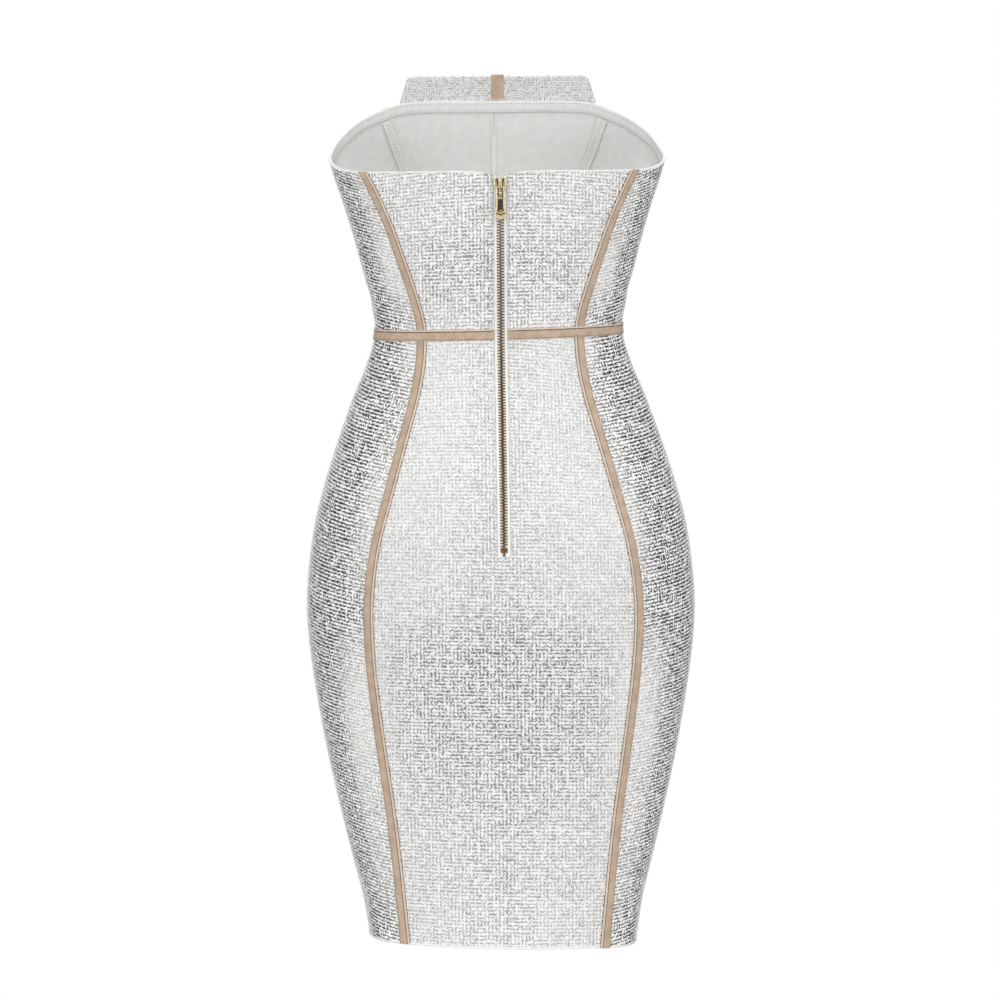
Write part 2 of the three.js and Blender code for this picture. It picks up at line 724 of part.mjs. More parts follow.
function pullTab() {
  const half = pull.thickness / 2;
  const top = pivotHeight + half;
  const [wide, slim, end, tip] = [pull.top, pull.waist, pull.end, pull.tip].map((w) => w / 2);
  const { bottom } = pull;
  const oneSide = [
    [tip, bottom], [end - pullEnd.inset, bottom + pullEnd.rounding],
    [end, bottom + pullEnd.widest], [slim + pullEnd.flare, bottom + pullEnd.shoulder],
    [slim, pullSlot.top], [wide, top - pullTop.drop], [wide - pullTop.corner, top],
  ];
  const outline = [...oneSide, ...oneSide.map(([x, z]) => [-x, z]).reverse()];
  const hole = (width, low, high) => [
    [-width / 2, low], [-width / 2, high], [width / 2, high], [width / 2, low],
  ];
  const upper = hole(bail.width + 2 * bailClearance, pivotHeight - pull.window, pivotHeight - half);
  const lower = hole(pullSlot.width, pullSlot.bottom, pullSlot.top);
  return extrudeOut(outline, pivotOut - half, pull.thickness, [upper, lower]);
}

add('zip_pull', pullTab(), materials.goldBrass, zipHead);

for (const [side, way] of [['left', 1], ['right', -1]]) {
  const { width, height, depth, reach, bottom } = topStop;
  const box = new THREE.BoxGeometry(width, depth, height);
  const stop = add(`zip_top_stop_${side}`, box, materials.goldBrass, zipHead);
  stop.position.set(way * reach, chainLow + depth / 2, bottom + height / 2);
}

export default dress;
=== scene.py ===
# Strapless bodycon dress in foil-printed bandage knit, seen from behind.
# Tables and cloth sizes are in millimetres, and meshes are made in metres.
import math

import bmesh
import bpy
import numpy as np
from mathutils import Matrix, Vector


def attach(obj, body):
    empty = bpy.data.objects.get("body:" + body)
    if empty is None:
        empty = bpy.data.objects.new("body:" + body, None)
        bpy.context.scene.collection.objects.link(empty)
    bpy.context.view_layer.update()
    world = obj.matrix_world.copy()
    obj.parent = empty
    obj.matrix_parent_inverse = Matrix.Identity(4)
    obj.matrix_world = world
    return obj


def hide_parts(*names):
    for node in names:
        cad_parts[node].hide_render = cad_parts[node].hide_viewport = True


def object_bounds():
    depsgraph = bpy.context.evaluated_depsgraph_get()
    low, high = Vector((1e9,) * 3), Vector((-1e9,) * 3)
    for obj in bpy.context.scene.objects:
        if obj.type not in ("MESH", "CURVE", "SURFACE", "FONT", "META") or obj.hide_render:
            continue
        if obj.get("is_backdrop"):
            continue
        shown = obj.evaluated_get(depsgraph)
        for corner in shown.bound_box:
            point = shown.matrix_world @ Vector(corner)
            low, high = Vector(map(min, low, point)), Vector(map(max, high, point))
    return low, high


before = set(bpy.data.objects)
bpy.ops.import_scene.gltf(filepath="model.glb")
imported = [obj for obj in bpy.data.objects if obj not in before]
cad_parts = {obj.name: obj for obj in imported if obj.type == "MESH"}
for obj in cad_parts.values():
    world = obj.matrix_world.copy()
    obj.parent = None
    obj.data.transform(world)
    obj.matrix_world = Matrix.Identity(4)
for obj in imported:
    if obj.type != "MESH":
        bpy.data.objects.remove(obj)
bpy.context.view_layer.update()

scene = bpy.context.scene
mm = 0.001

# The body that the dress is filled out on, and how square its oval is (2 is an ellipse)
sections = {
    "height": [-585, -540, -500, -450, -400, -350, -300, -260, -220, -180, -140, -100,
               -60, -30, 0, 30, 60, 90, 120, 150, 168, 217, 250],
    "halfWidth": [126, 133, 143, 155, 166, 175, 182, 184.5, 182, 176, 165.5, 152.5,
                  138, 125.5, 117.5, 121.5, 129, 137, 146, 156, 160, 161, 161],
    "front": [87, 88, 90, 92, 95, 98, 102, 105, 107, 108, 107, 102,
              94, 88, 85, 88, 95, 105, 112, 114, 113, 106, 102],
    "back": [88, 90, 93, 97, 103, 112, 121, 126, 127, 124, 116, 105,
             92, 83, 78, 79, 82, 85, 86, 86, 85, 80, 78],
    "square": [2.4, 2.35, 2.3, 2.25, 2.2, 2.2, 2.2, 2.2, 2.2, 2.2, 2.2, 2.15,
               2.1, 2.1, 2.1, 2.1, 2.15, 2.2, 2.2, 2.2, 2.2, 2.2, 2.2],
}
cup = {"turn": 37, "height": 128, "depth": 11, "turnSpread": 19, "heightSpread": 38}
backSeam = {
    "height": [-585, -550, -500, -450, -400, -350, -300, -250, -200, -150, -100,
               -60, -30, 0, 15, 40, 70, 100, 125, 155],
    "reach": [92, 95.5, 101, 107, 114, 120.5, 125.5, 126.5, 120.5, 107.5, 93.5,
              82, 76, 74, 76, 83, 93, 103.5, 114, 129],
}
frontSeam = {
    "height": [-585, -500, -400, -300, -250, -200, -150, -100, -50, 0, 50, 100, 150, 220],
    "reach": [85, 92, 103, 112, 113, 108, 97, 84, 73, 67, 69, 76, 86, 108],
}
# Top edge, by the turn in degrees from the centre front round to the centre back
neckline = {
    "turn": [0, 25, 33, 41, 49, 56, 62, 68, 75, 83, 91, 100, 112, 124, 166, 173, 178.5, 180],
    "height": [216, 216, 214, 208, 201.5, 195, 189, 182, 174, 167.5, 163.5, 158.5, 154.5,
               153, 153.5, 153, 149.5, 149.5],
}
length = {"hem": -578, "hemTilt": 4.5, "waistTilt": -2, "zipEnd": -205}
cloth = {"thickness": 1.3, "seamGap": 0.3, "cell": 6.0, "rolledEdge": 0.7,
         "sideFall": 0.16}  # how steeply the knit's rows fall to the centre in the side panels
tape = {"width": 10.2, "thickness": 0.6, "off": 0.3,
        "overWidth": 5.6, "overRamp": 2.5, "clear": 0.1,  # where one tape crosses another
        "shadowInGroove": 2.5, "lip": 3.9}  # mm from its middle, towards the centre back or front
facing = {"width": 11, "off": -2.0, "thickness": 0.6,
          "gap": 0.003,  # radians of turn at a side seam
          "short": 16.6, "reach": 86}  # mm that it stops before the centre back, and from the axis
channel = {"width": 12, "off": -1.9, "thickness": 1.0, "below": 0.6}
zipPlan = {"slot": 13, "pitch": 2.7, "bottom": -196.4, "top": 132.5}
bow = {"halfWidth": 93, "topHalfWidth": 87, "bottom": 185, "top": 240.5, "corner": 6,
       "taperFrom": 217, "reach": (57, 90),  # mm over its face, up it and out to an end
       "off": 0.4, "thickness": 2.2, "rounding": 1.4,
       "aside": -3.5}  # mm that it sits off the centre front

# Soft creases, a row each: turn in degrees, height in mm, width in degrees, length and depth
# in mm, and the lean in degrees of turn for each mm of height
creaseColumns = ("turn", "height", "width", "length", "depth", "lean")
creases = [dict(zip(creaseColumns, row)) for row in [
    (196, -330, 15, 120, 0.5, 0.0),  # over the seat and the hips
    (150, -306, 8, 7, -0.5, 0.0),
    (209, -299, 11, 6, -0.55, 0.0),
    (180, -640, 32, 130, 4.8, 0.0),  # the hem's flare
    (124, -640, 18, 130, 5.0, 0.0),
    (236, -640, 18, 130, 5.0, 0.0),
    (177.8, -640, 3.4, 110, -2.6, 0.0),  # streaks that run up from the hem
    (201, -640, 5.0, 120, -3.2, 0.0),
    (188, -600, 4.5, 60, 0.7, 0.0),
    (163, -600, 6, 70, 0.8, 0.0),
    (158, 95, 4, 48, -0.8, 0.03),  # either side of the zip in the bodice
    (166, 100, 3.5, 42, 0.6, 0.02),
    (200, 92, 4, 50, -0.8, -0.03),
    (193, 104, 3.5, 38, 0.6, -0.02),
    (150, 26, 8, 7, -0.7, 0.0),  # above the waist
    (209, 30, 9, 7, -0.7, 0.0),
    (64, 140, 5, 46, -3.4, -0.05),  # beside the cups, as the inside shows
    (-60, 138, 6, 44, -3.2, 0.05),
    (-40, 120, 5, 40, 0.9, 0.03),
    (73, 130, 4, 40, 1.6, -0.04),
    (-72, 132, 5, 40, 1.4, 0.04),
    (12, -520, 5, 60, -0.8, 0.0),  # the hidden front and sides, by likeness
    (-15, -505, 6, 70, -0.8, 0.01),
    (20, -36, 14, 9, -0.8, 0.0),
    (-18, -58, 16, 10, -0.7, 0.0),
    (88, 34, 15, 8, -0.8, 0.0),
    (-86, 40, 14, 8, -0.8, 0.0),
]]


def readTable(table, column, at, key="height"):  # a smooth curve through the table
    places = np.asarray(table[key], float)
    values = np.asarray(table[column], float)
    steps = np.diff(values) / np.diff(places)
    inner = (values[2:] - values[:-2]) / (places[2:] - places[:-2])
    slopes = np.concatenate([steps[:1], inner, steps[-1:]])
    i = np.clip(np.searchsorted(places, at, side="right") - 1, 0, len(places) - 2)
    span = places[i + 1] - places[i]
    t = np.clip((at - places[i]) / span, 0, 1)
    ease = t * t * (3 - 2 * t)
    start = t * (1 - t) ** 2 * span * slopes[i]
    end = t * t * (t - 1) * span * slopes[i + 1]
    return values[i] + (values[i + 1] - values[i]) * ease + start + end


def onBody(turn, height):  # the figure under the cloth, in mm
    power = 2 / readTable(sections, "square", height)
    sine, cosine = np.sin(turn), np.cos(turn)
    x = readTable(sections, "halfWidth", height) * np.sign(sine) * np.abs(sine) ** power
    reach = np.abs(cosine) ** power
    off = (np.degrees(np.arcsin(np.abs(sine))) - cup["turn"]) / cup["turnSpread"]
    up = (height - cup["height"]) / cup["heightSpread"]
    fullness = cup["depth"] * np.exp(-off * off - up * up) * np.clip(3 * cosine, 0, 1)
    front = -readTable(sections, "front", height) * reach - fullness
    back = readTable(sections, "back", height) * reach
    return np.stack([x, np.where(cosine < 0, back, front), height + 0 * turn], -1)


def crossed(place, turn, height):  # the outward way there
    across = place(turn + 0.01, height) - place(turn - 0.01, height)
    up = place(turn, height + 1.0) - place(turn, height - 1.0)
    out = np.cross(across, up)
    return out / np.linalg.norm(out, axis=-1, keepdims=True)


def creaseDepth(turn, height):
    total = 0 * turn
    for c in creases:
        middle = c["turn"] + c["lean"] * (height - c["height"])
        off = (np.degrees(turn) - middle + 180) % 360 - 180
        up = (height - c["height"]) / c["length"]
        total = total + c["depth"] * np.exp(-(off / c["width"]) ** 2 - up * up)
    return total


def onCloth(turn, height):  # the same with the creases
    return onBody(turn, height) + crossed(onBody, turn, height) * creaseDepth(turn, height)[..., None]


def turnFor(x, height):
    share = np.clip(x / readTable(sections, "halfWidth", height), 0, 1)
    return np.arcsin(share ** (readTable(sections, "square", height) / 2))


def speed(turn, height):  # mm of cloth for each radian of turn
    step = onBody(turn + 0.01, height) - onBody(turn - 0.01, height)
    return np.linalg.norm(step, axis=-1) / 0.02


def waistAt(turn):
    return length["waistTilt"] * np.sin(turn)


def hemAt(turn):
    return length["hem"] + length["hemTilt"] * np.sin(turn)


def necklineAt(turn):
    degrees = np.abs((np.degrees(turn) + 180) % 360 - 180)
    return readTable(neckline, "height", degrees, "turn")


edges = {
    "centre": lambda h: 0 * h,
    "front": lambda h: turnFor(readTable(frontSeam, "reach", h), h),
    "side": lambda h: 0 * h + math.pi / 2,
    "back": lambda h: math.pi - turnFor(readTable(backSeam, "reach", h), h),
    "zip": lambda h: math.pi - turnFor(zipPlan["slot"] / 2, h),
}


def edgeOn(side, name):
    if side == "left":
        return edges[name]
    if side == "past":  # the right side, reached past the centre back
        return lambda h: 2 * math.pi - edges[name](h)
    return lambda h: -edges[name](h)


# Shares of the height from the bottom of a half to its top, with a row at the zip's end
rowShares = {
    "bodice": np.linspace(0, 1, 34),
    "skirt": np.concatenate([np.linspace(0, 1, 70)[:-1], np.linspace(1, 2, 40)]),
}


def rowHeights(half, turn):
    share = rowShares[half][:, None]
    gap = cloth["seamGap"] / 2
    if half == "bodice":
        low = waistAt(turn) + gap
        return low + (necklineAt(turn) - low) * share
    lower = hemAt(turn) + (length["zipEnd"] - hemAt(turn)) * share
    upper = length["zipEnd"] + (waistAt(turn) - gap - length["zipEnd"]) * (share - 1)
    return np.where(share < 1, lower, upper)


def gridBetween(half, start, end, gaps=(True, True), close=(0, 0.8, 2, 4)):
    settling, rounds = 6, 14  # rounds until the two edges are settled, and in all
    rows = len(rowShares[half])
    height = np.repeat(rowHeights(half, np.zeros((rows, 1))), 2, axis=1)
    share = np.tile([0.0, 1.0], (rows, 1))
    halfGap = cloth["seamGap"] / 2
    for step in range(rounds):
        if step == settling:  # the width is known now, so the columns are set out across it
            ends = onBody(np.linspace(turn[:, 0], turn[:, -1], 30).T, height[:, :1])
            width = np.linalg.norm(np.diff(ends, axis=1), axis=-1).sum(1)[:, None]
            near = np.array(close)[None] / width
            cells = max(2, round((width.max() - 2 * close[-1]) / cloth["cell"]))
            middle = np.linspace(near[:, -1], 1 - near[:, -1], cells + 1).T[:, 1:-1]
            share = np.concatenate([near, middle, 1 - near[:, ::-1]], axis=1)
            height = np.repeat(height.mean(1, keepdims=True), share.shape[1], axis=1)
        first, last = start(height), end(height)
        first = first + (halfGap / speed(first, height) if gaps[0] else 0)
        last = last - (halfGap / speed(last, height) if gaps[1] else 0)
        turn = first + (last - first) * share
        height = rowHeights(half, turn)
    return turn, height


def newObject(name, vertices, faces, slots, uv=None, indices=None, sharp=40):
    mesh = bpy.data.meshes.new(name)
    mesh.from_pydata(np.asarray(vertices).tolist(), [], faces)
    for material in slots:
        mesh.materials.append(material)
    if indices is not None:
        mesh.polygons.foreach_set("material_index", indices)
    if uv is not None:
        layer = mesh.uv_layers.new(name="clothMm")
        corner = np.zeros(len(mesh.loops), int)
        mesh.loops.foreach_get("vertex_index", corner)
        layer.uv.foreach_set("vector", np.asarray(uv, np.float32)[corner].ravel())
    mesh.shade_smooth()
    mesh.set_sharp_from_angle(angle=math.radians(sharp))
    obj = bpy.data.objects.new(name, mesh)
    scene.collection.objects.link(obj)
    return obj


def clothShell(name, turn, height, low, high, slots, keeps=None, lift=0.0, place=None, tilt=0.0,
               grain=None):
    # An outer and an inner face over a grid of places, closed all round. The cloth is laid
    # upright along the grain column, which is the middle one if none is given.
    place = place or onCloth
    points = place(turn, height)
    normals = crossed(place, turn, height)
    rows, columns = turn.shape
    across = np.linalg.norm(np.diff(points, axis=1), axis=-1)
    u = np.concatenate([np.zeros((rows, 1)), np.cumsum(across, axis=1)], axis=1)
    u = u - u[:, columns // 2 if grain is None else grain][:, None]
    upward = np.linalg.norm(np.diff(points, axis=0), axis=-1)
    v = np.concatenate([np.zeros((1, columns)), np.cumsum(upward, axis=0)], axis=0) + tilt * u
    outer = points + normals * (np.broadcast_to(high + lift, turn.shape)[..., None])
    inner = points + normals * (np.broadcast_to(low + lift, turn.shape)[..., None])
    vertices = np.concatenate([outer.reshape(-1, 3), inner.reshape(-1, 3)]) * mm
    uv = np.tile(np.stack([u, v], -1).reshape(-1, 2), (2, 1))
    kept = np.ones((rows + 1, columns + 1), bool)
    kept[0], kept[-1], kept[:, 0], kept[:, -1] = False, False, False, False
    if keeps is not None:
        kept[1:-1, 1:-1] = keeps(*np.mgrid[0:rows - 1, 0:columns - 1])
    faces, indices, n = [], [], rows * columns
    for r, c in np.argwhere(kept[1:-1, 1:-1]):
        a = int(r * columns + c)
        b, d, e = a + 1, a + columns, a + columns + 1
        faces += [(a, b, e, d), (a + n, d + n, e + n, b + n)]
        indices += [0, 1]
        sides = [(kept[r, c + 1], a, b), (kept[r + 1, c + 2], b, e),
                 (kept[r + 2, c + 1], e, d), (kept[r + 1, c], d, a)]
        for neighbour, p, q in sides:
            if not neighbour:
                faces.append((q, p, p + n, q + n))
                indices.append(2 if len(slots) > 2 else 0)
    if len(slots) == 1:
        indices = [0] * len(indices)
    return newObject(name, vertices, faces, slots, uv, indices)


# Materials

def linear(hexColour):
    parts = [int(hexColour[i:i + 2], 16) / 255 for i in (1, 3, 5)]
    return tuple(c / 12.92 if c <= 0.04045 else ((c + 0.055) / 1.055) ** 2.4 for c in parts) + (1,)


def addNode(tree, kind, links=None, **settings):  # a node among the links gives its first output
    node = tree.nodes.new("ShaderNode" + kind)
    for key, value in settings.items():
        setattr(node, key, value)
    for key, value in (links or {}).items():
        if isinstance(value, bpy.types.Node):
            value = value.outputs[0]
        if isinstance(value, bpy.types.NodeSocket):
            tree.links.new(value, node.inputs[key])
        else:
            node.inputs[key].default_value = value
    return node


def newTree(name):
    material = bpy.data.materials.new(name)
    material.use_nodes = True
    material.node_tree.nodes.clear()
    return material, material.node_tree


def finishTree(tree, sockets):
    shader = addNode(tree, "BsdfPrincipled", sockets)
    addNode(tree, "OutputMaterial", {"Surface": shader})


def shadeBetween(tree, value, low, high, dark, light):  # the share from low to high, and its tone
    share = addNode(tree, "MapRange", {"Value": value, "From Min": low, "From Max": high})
    colour = addNode(tree, "Mix", {"Factor": share, 6: linear(dark), 7: linear(light)},
                     data_type="RGBA").outputs[2]
    return share, colour


foil = {
    "thread": "#f1f1f0", "foilLight": "#d0d0cf", "foilDark": "#b1b0ae",
    "pitchAcross": 3.5, "pitchUp": 3.45,  # mm between threads, as counted in the photo
    "threadHalf": 0.24,  # of the pitch
    "wander": 0.9, "wanderSize": 2.6,  # mm that the threads stray, and over what length
    "patch": 30.0,  # mm, the size of the patches where more yarns run up than along
    "alongBelow": (0.88, 0.6), "upAbove": (0.54, 0.34),  # limits for a chance of 0 to 1
    "foilRoughness": 0.26, "threadRoughness": 0.8, "relief": 0.15,
}


def foilKnitMaterial(name, p):
    # Nylon and elastane bandage knit, silver foil printed between raised white yarns.
    # The yarns read as a matte white maze over dashes that mirror the studio.
    material, tree = newTree(name)
    uv = addNode(tree, "UVMap", uv_map="clothMm")
    noise = addNode(tree, "TexNoise", {"Vector": uv, "Scale": 1 / p["wanderSize"], "Detail": 1.0},
                    noise_dimensions="2D").outputs["Color"]
    centred = addNode(tree, "VectorMath", {0: noise, 1: (0.5, 0.5, 0.5)}, operation="SUBTRACT")
    stray = addNode(tree, "VectorMath", {0: centred, "Scale": 4 * p["wander"]}, operation="SCALE")
    wavy = addNode(tree, "VectorMath", {0: uv, 1: stray}, operation="ADD")
    pitch = (p["pitchAcross"], p["pitchUp"], 1)
    grid = addNode(tree, "VectorMath", {0: wavy, 1: pitch}, operation="DIVIDE")
    # Every crossing of the grid has a yarn through it: along, up, or both ways
    shifted = addNode(tree, "VectorMath", {0: grid, 1: (0.5, 0.5, 0)}, operation="ADD")
    part = addNode(tree, "VectorMath", {0: shifted}, operation="FRACTION")
    fromLine = addNode(tree, "VectorMath", {0: part, 1: (0.5, 0.5, 0)}, operation="SUBTRACT")
    away = addNode(tree, "VectorMath", {0: fromLine}, operation="ABSOLUTE")
    apart = addNode(tree, "SeparateXYZ", {0: away}).outputs
    crossing = addNode(tree, "VectorMath", {0: shifted}, operation="FLOOR")
    chance = addNode(tree, "TexWhiteNoise", {"Vector": crossing},
                     noise_dimensions="2D").outputs["Value"]
    patches = addNode(tree, "TexNoise", {"Vector": uv, "Scale": 1 / p["patch"], "Detail": 2.0},
                      noise_dimensions="2D").outputs["Fac"]
    runs = []
    for limits, test, axis in [("alongBelow", "LESS_THAN", "Y"), ("upAbove", "GREATER_THAN", "X")]:
        limit = addNode(tree, "MapRange", {"Value": patches, "From Min": 0.4, "From Max": 0.62,
                        "To Min": p[limits][0], "To Max": p[limits][1]})
        there = addNode(tree, "Math", {0: chance, 1: limit}, operation=test)
        body = addNode(tree, "MapRange", {"Value": apart[axis],
                       "From Min": p["threadHalf"] * 1.22, "From Max": p["threadHalf"] * 0.76},
                       interpolation_type="SMOOTHSTEP")
        runs.append(addNode(tree, "Math", {0: there, 1: body}, operation="MULTIPLY"))
    yarn = addNode(tree, "Math", {0: runs[0], 1: runs[1]}, operation="MAXIMUM")
    flakes = addNode(tree, "TexNoise", {"Vector": uv, "Scale": 0.35, "Detail": 3.0},
                     noise_dimensions="2D").outputs["Fac"]
    _, silver = shadeBetween(tree, flakes, 0.35, 0.65, p["foilDark"], p["foilLight"])
    colour = addNode(tree, "Mix", {"Factor": yarn, 6: silver, 7: linear(p["thread"])},
                     data_type="RGBA").outputs[2]
    metal = addNode(tree, "MapRange", {"Value": yarn, "To Min": 0.95, "To Max": 0.0})
    rough = addNode(tree, "MapRange", {"Value": yarn, "To Min": p["foilRoughness"],
                    "To Max": p["threadRoughness"]})
    fuzz = addNode(tree, "TexNoise", {"Vector": uv, "Scale": 1.6, "Detail": 2.0},
                   noise_dimensions="2D").outputs["Fac"]
    tops = addNode(tree, "Math", {0: fuzz, 1: 0.35, 2: yarn}, operation="MULTIPLY_ADD")
    bump = addNode(tree, "Bump", {"Height": tops, "Distance": p["relief"] * mm, "Strength": 0.8})
    finishTree(tree, {"Base Color": colour, "Metallic": metal, "Roughness": rough, "Normal": bump})
    return material


def ribbedClothMaterial(name, light, dark, across, relief, roughness, sheen, slant=0.0):
    # Plain yarn-dyed cloth: fine ribs a fixed distance apart, with a soft uneven tone
    material, tree = newTree(name)
    uv = addNode(tree, "UVMap", uv_map="clothMm")
    turned = addNode(tree, "VectorRotate", {"Vector": uv, "Angle": slant}, rotation_type="Z_AXIS")
    ribs = addNode(tree, "TexWave", {"Vector": turned, "Scale": 0.314 / across,
                   "Distortion": 1.2, "Detail": 1.0, "Detail Scale": 0.5},
                   bands_direction="Y").outputs["Fac"]
    tone = addNode(tree, "TexNoise", {"Vector": uv, "Scale": 0.12, "Detail": 4.0},
                   noise_dimensions="2D").outputs["Fac"]
    uneven = addNode(tree, "Math", {0: ribs, 1: 0.35, 2: tone}, operation="MULTIPLY_ADD")
    _, colour = shadeBetween(tree, uneven, 0.35, 0.95, dark, light)
    bump = addNode(tree, "Bump", {"Height": ribs, "Distance": relief * mm, "Strength": 0.7})
    finishTree(tree, {"Base Color": colour, "Normal": bump, "Roughness": roughness,
                      "Sheen Weight": sheen})
    return material


def castMetalMaterial(name, light, dark, roughness, grain):
    # Plated zinc or brass: a bright skin, duller and darker in the hollows of its grain
    material, tree = newTree(name)
    place = addNode(tree, "TexCoord").outputs["Object"]
    pits = addNode(tree, "TexNoise", {"Vector": place, "Scale": 1000 / grain,
                   "Detail": 3.0}).outputs["Fac"]
    share, colour = shadeBetween(tree, pits, 0.35, 0.65, dark, light)
    rough = addNode(tree, "MapRange", {"Value": share, "To Min": roughness + 0.15,
                    "To Max": roughness})
    bump = addNode(tree, "Bump", {"Height": pits, "Distance": 0.04 * mm, "Strength": 0.5})
    finishTree(tree, {"Base Color": colour, "Roughness": rough, "Normal": bump, "Metallic": 1.0})
    return material


foilKnit = foilKnitMaterial("foilPrintedBandageKnit", foil)
# Pulled tight on the ribs, so its foil opens more and shows darker between whiter yarns
bodiceFoil = {**foil, "thread": "#f7f7f6", "foilLight": "#c7c7c6", "foilDark": "#a6a5a3",
              "threadHalf": 0.235}
bodiceKnit = foilKnitMaterial("foilPrintedBodiceKnit", bodiceFoil)
# Turned away from the eye, with longer rows of foil. Its yarns are painted whiter as painted light, and
# its foil darker as painted shade for the dark sides of the studio that it mirrors
paintedLightShadeSideFoil = {**foil, "thread": "#fcfcfb", "foilLight": "#c8c7c5", "foilDark": "#a09f9c",
            "threadHalf": 0.222, "alongBelow": (0.97, 0.85), "upAbove": (0.8, 0.62)}
paintedLightShadeSideKnit = foilKnitMaterial("printedKnitSidesPaintedLightShade", paintedLightShadeSideFoil)
# Stretched less, so its maze is finer and its foil duller and paler
bowFoil = {**foil, "pitchAcross": 2.6, "pitchUp": 2.5, "thread": "#eeeeee", "foilLight": "#d9d9d7",
           "foilDark": "#b6b5b3", "foilRoughness": 0.34}
bowKnit = foilKnitMaterial("foilPrintedBowKnit", bowFoil)

# Rib spacings are drawn about twice as coarse as the real ones, so that they show

# The knit's bare back, which shades softly with no shine
wrongSide = ribbedClothMaterial("knitWrongSide", "#eeefed", "#e4e5e2", across=1.8, relief=0.04,
                                roughness=0.9, sheen=0.1)
# Knit folded over at an edge, a plain bright white line
foldEdge = ribbedClothMaterial("foldedKnitEdge", "#f7f7f5", "#e9e9e6", across=1.6, relief=0.15,
                               roughness=0.85, sheen=0.1)
# Cotton twill tape, matte tan with fine slanting ribs
tanTwill = ribbedClothMaterial("tanTwillTape", "#cdb7a2", "#ad9680", across=2.1, relief=0.2,
                               roughness=0.8, sheen=0.15, slant=0.8)
# The same tape turned under as a rounded lip, painted paler as a painted highlight where it catches the
# light
tanLipPaintedHighlight = ribbedClothMaterial("tanTapeLipPaintedHighlight", "#e6d7c8", "#d0bcab", across=1.5, relief=0.1,
                              roughness=0.8, sheen=0.15)
# Woven polyester, a smooth warm white beside the teeth
zipTwill = ribbedClothMaterial("polyesterZipTape", "#fbfaf6", "#f1efe9", across=1.4, relief=0.08,
                               roughness=0.8, sheen=0.0)
# Spun polyester threads: dark lines along the tapes, and faint ones by the zip and inside. The brown one
# also lays a dark line in each tape's groove, which is painted shadow
threads = {"across": 0.8, "relief": 0.05, "sheen": 0.0}
brownThreadAndShadow = ribbedClothMaterial("brownThreadAndGrooveShadow", "#7d6654", "#5c4839", roughness=0.7, **threads)
blueThread = ribbedClothMaterial("iceBlueThread", "#c9d7de", "#b3c6cf", roughness=0.6, **threads)
greyThread = ribbedClothMaterial("greyPolyesterThread", "#cbccca", "#b3b4b2", roughness=0.6, **threads)
# Stamped brass, darkened in a bath: brown teeth with lighter tips
antiqueBrass = castMetalMaterial("antiqueBrass", "#94714a", "#3c2c1b", roughness=0.32, grain=0.8)
# Cast zinc under thin gold, polished, painted near-white on the rims as painted highlights
highlightPaintedGold = castMetalMaterial("polishedGoldPaintedHighlight", "#fff4d6", "#dcc48f", roughness=0.1, grain=1.5)
# The same plate on the broad faces, its colour streaked between near-white and brown as a painted
# reflection of the light and dark studio
reflectionPaintedGold = castMetalMaterial("plateGoldPaintedReflection", "#f8e8ba", "#46371c", roughness=0.12, grain=1.3)
# A dull dark brown laid in the openings and gaps as painted shade
shadePaintedBrass = castMetalMaterial("hollowBrassPaintedShade", "#665d55", "#332c26", roughness=0.35, grain=0.9)
print("materials made")


# Cloth pieces


def settle(obj, body="dress", replaces=()):
    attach(obj, body)
    if replaces:
        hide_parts(*replaces)


def declareSheet(turn, height, place=None):  # works out the cloth's points in metres, and nothing more
    points = (place or onCloth)(turn, height) * mm


def makeSheet(node, turn, height, low, high, materials, slot, place=None, aside=0.0, **laid):
    obj = clothShell(node + "_cloth", turn, height, low, high, materials, place=place, **laid)
    if aside:
        for vertex in obj.data.vertices:
            vertex.co.x += aside * mm
    settle(obj, replaces=(node,))
    declareSheet(turn, height, place)


def makePanel(name, half, start, end, gaps=(True, True), material=foilKnit, tilt=0.0, grain=None):
    turn, height = gridBetween(half, start, end, gaps)
    roll = np.zeros(turn.shape)  # at a seam the cloth turns in over its last few mm
    for index, amount in enumerate([1.0, 0.35, 0.06]):
        if gaps[0]:
            roll[:, index] -= cloth["rolledEdge"] * amount
        if gaps[1]:
            roll[:, -1 - index] -= cloth["rolledEdge"] * amount
    makeSheet(name, turn, height, -cloth["thickness"], 0.0, [material, wrongSide, foldEdge],
              "foil_knit", lift=roll, tilt=tilt, grain=grain)


def between(side, first, last):  # two edges, put so that the turn grows from one to the other
    pair = (edgeOn(side, first), edgeOn(side, last))
    return pair if side == "left" else pair[::-1]


for side in ("left", "right"):
    isLeft = side == "left"
    first, last = (0, -1) if isLeft else (-1, 0)
    fall = cloth["sideFall"] if isLeft else -cloth["sideFall"]
    makePanel(f"front_bodice_{side}", "bodice", *between(side, "centre", "front"),
              material=bodiceKnit, grain=first)
    # The side panels take the knit with painted light on its yarns and painted shade on its foil
    makePanel(f"front_bodice_side_{side}", "bodice", *between(side, "front", "side"),
              material=paintedLightShadeSideKnit, tilt=-fall)
    makePanel(f"back_bodice_side_{side}", "bodice", *between(side, "side", "back"),
              material=paintedLightShadeSideKnit, tilt=fall)
    makePanel(f"back_bodice_{side}", "bodice", *between(side, "back", "zip"),
              gaps=(isLeft, not isLeft), material=bodiceKnit, grain=last)
    makePanel(f"front_skirt_side_{side}", "skirt", *between(side, "front", "side"),
              material=paintedLightShadeSideKnit, tilt=-fall)
    makePanel(f"back_skirt_side_{side}", "skirt", *between(side, "side", "back"),
              material=paintedLightShadeSideKnit, tilt=fall)
makePanel("front_skirt", "skirt", edgeOn("right", "front"), edgeOn("left", "front"))


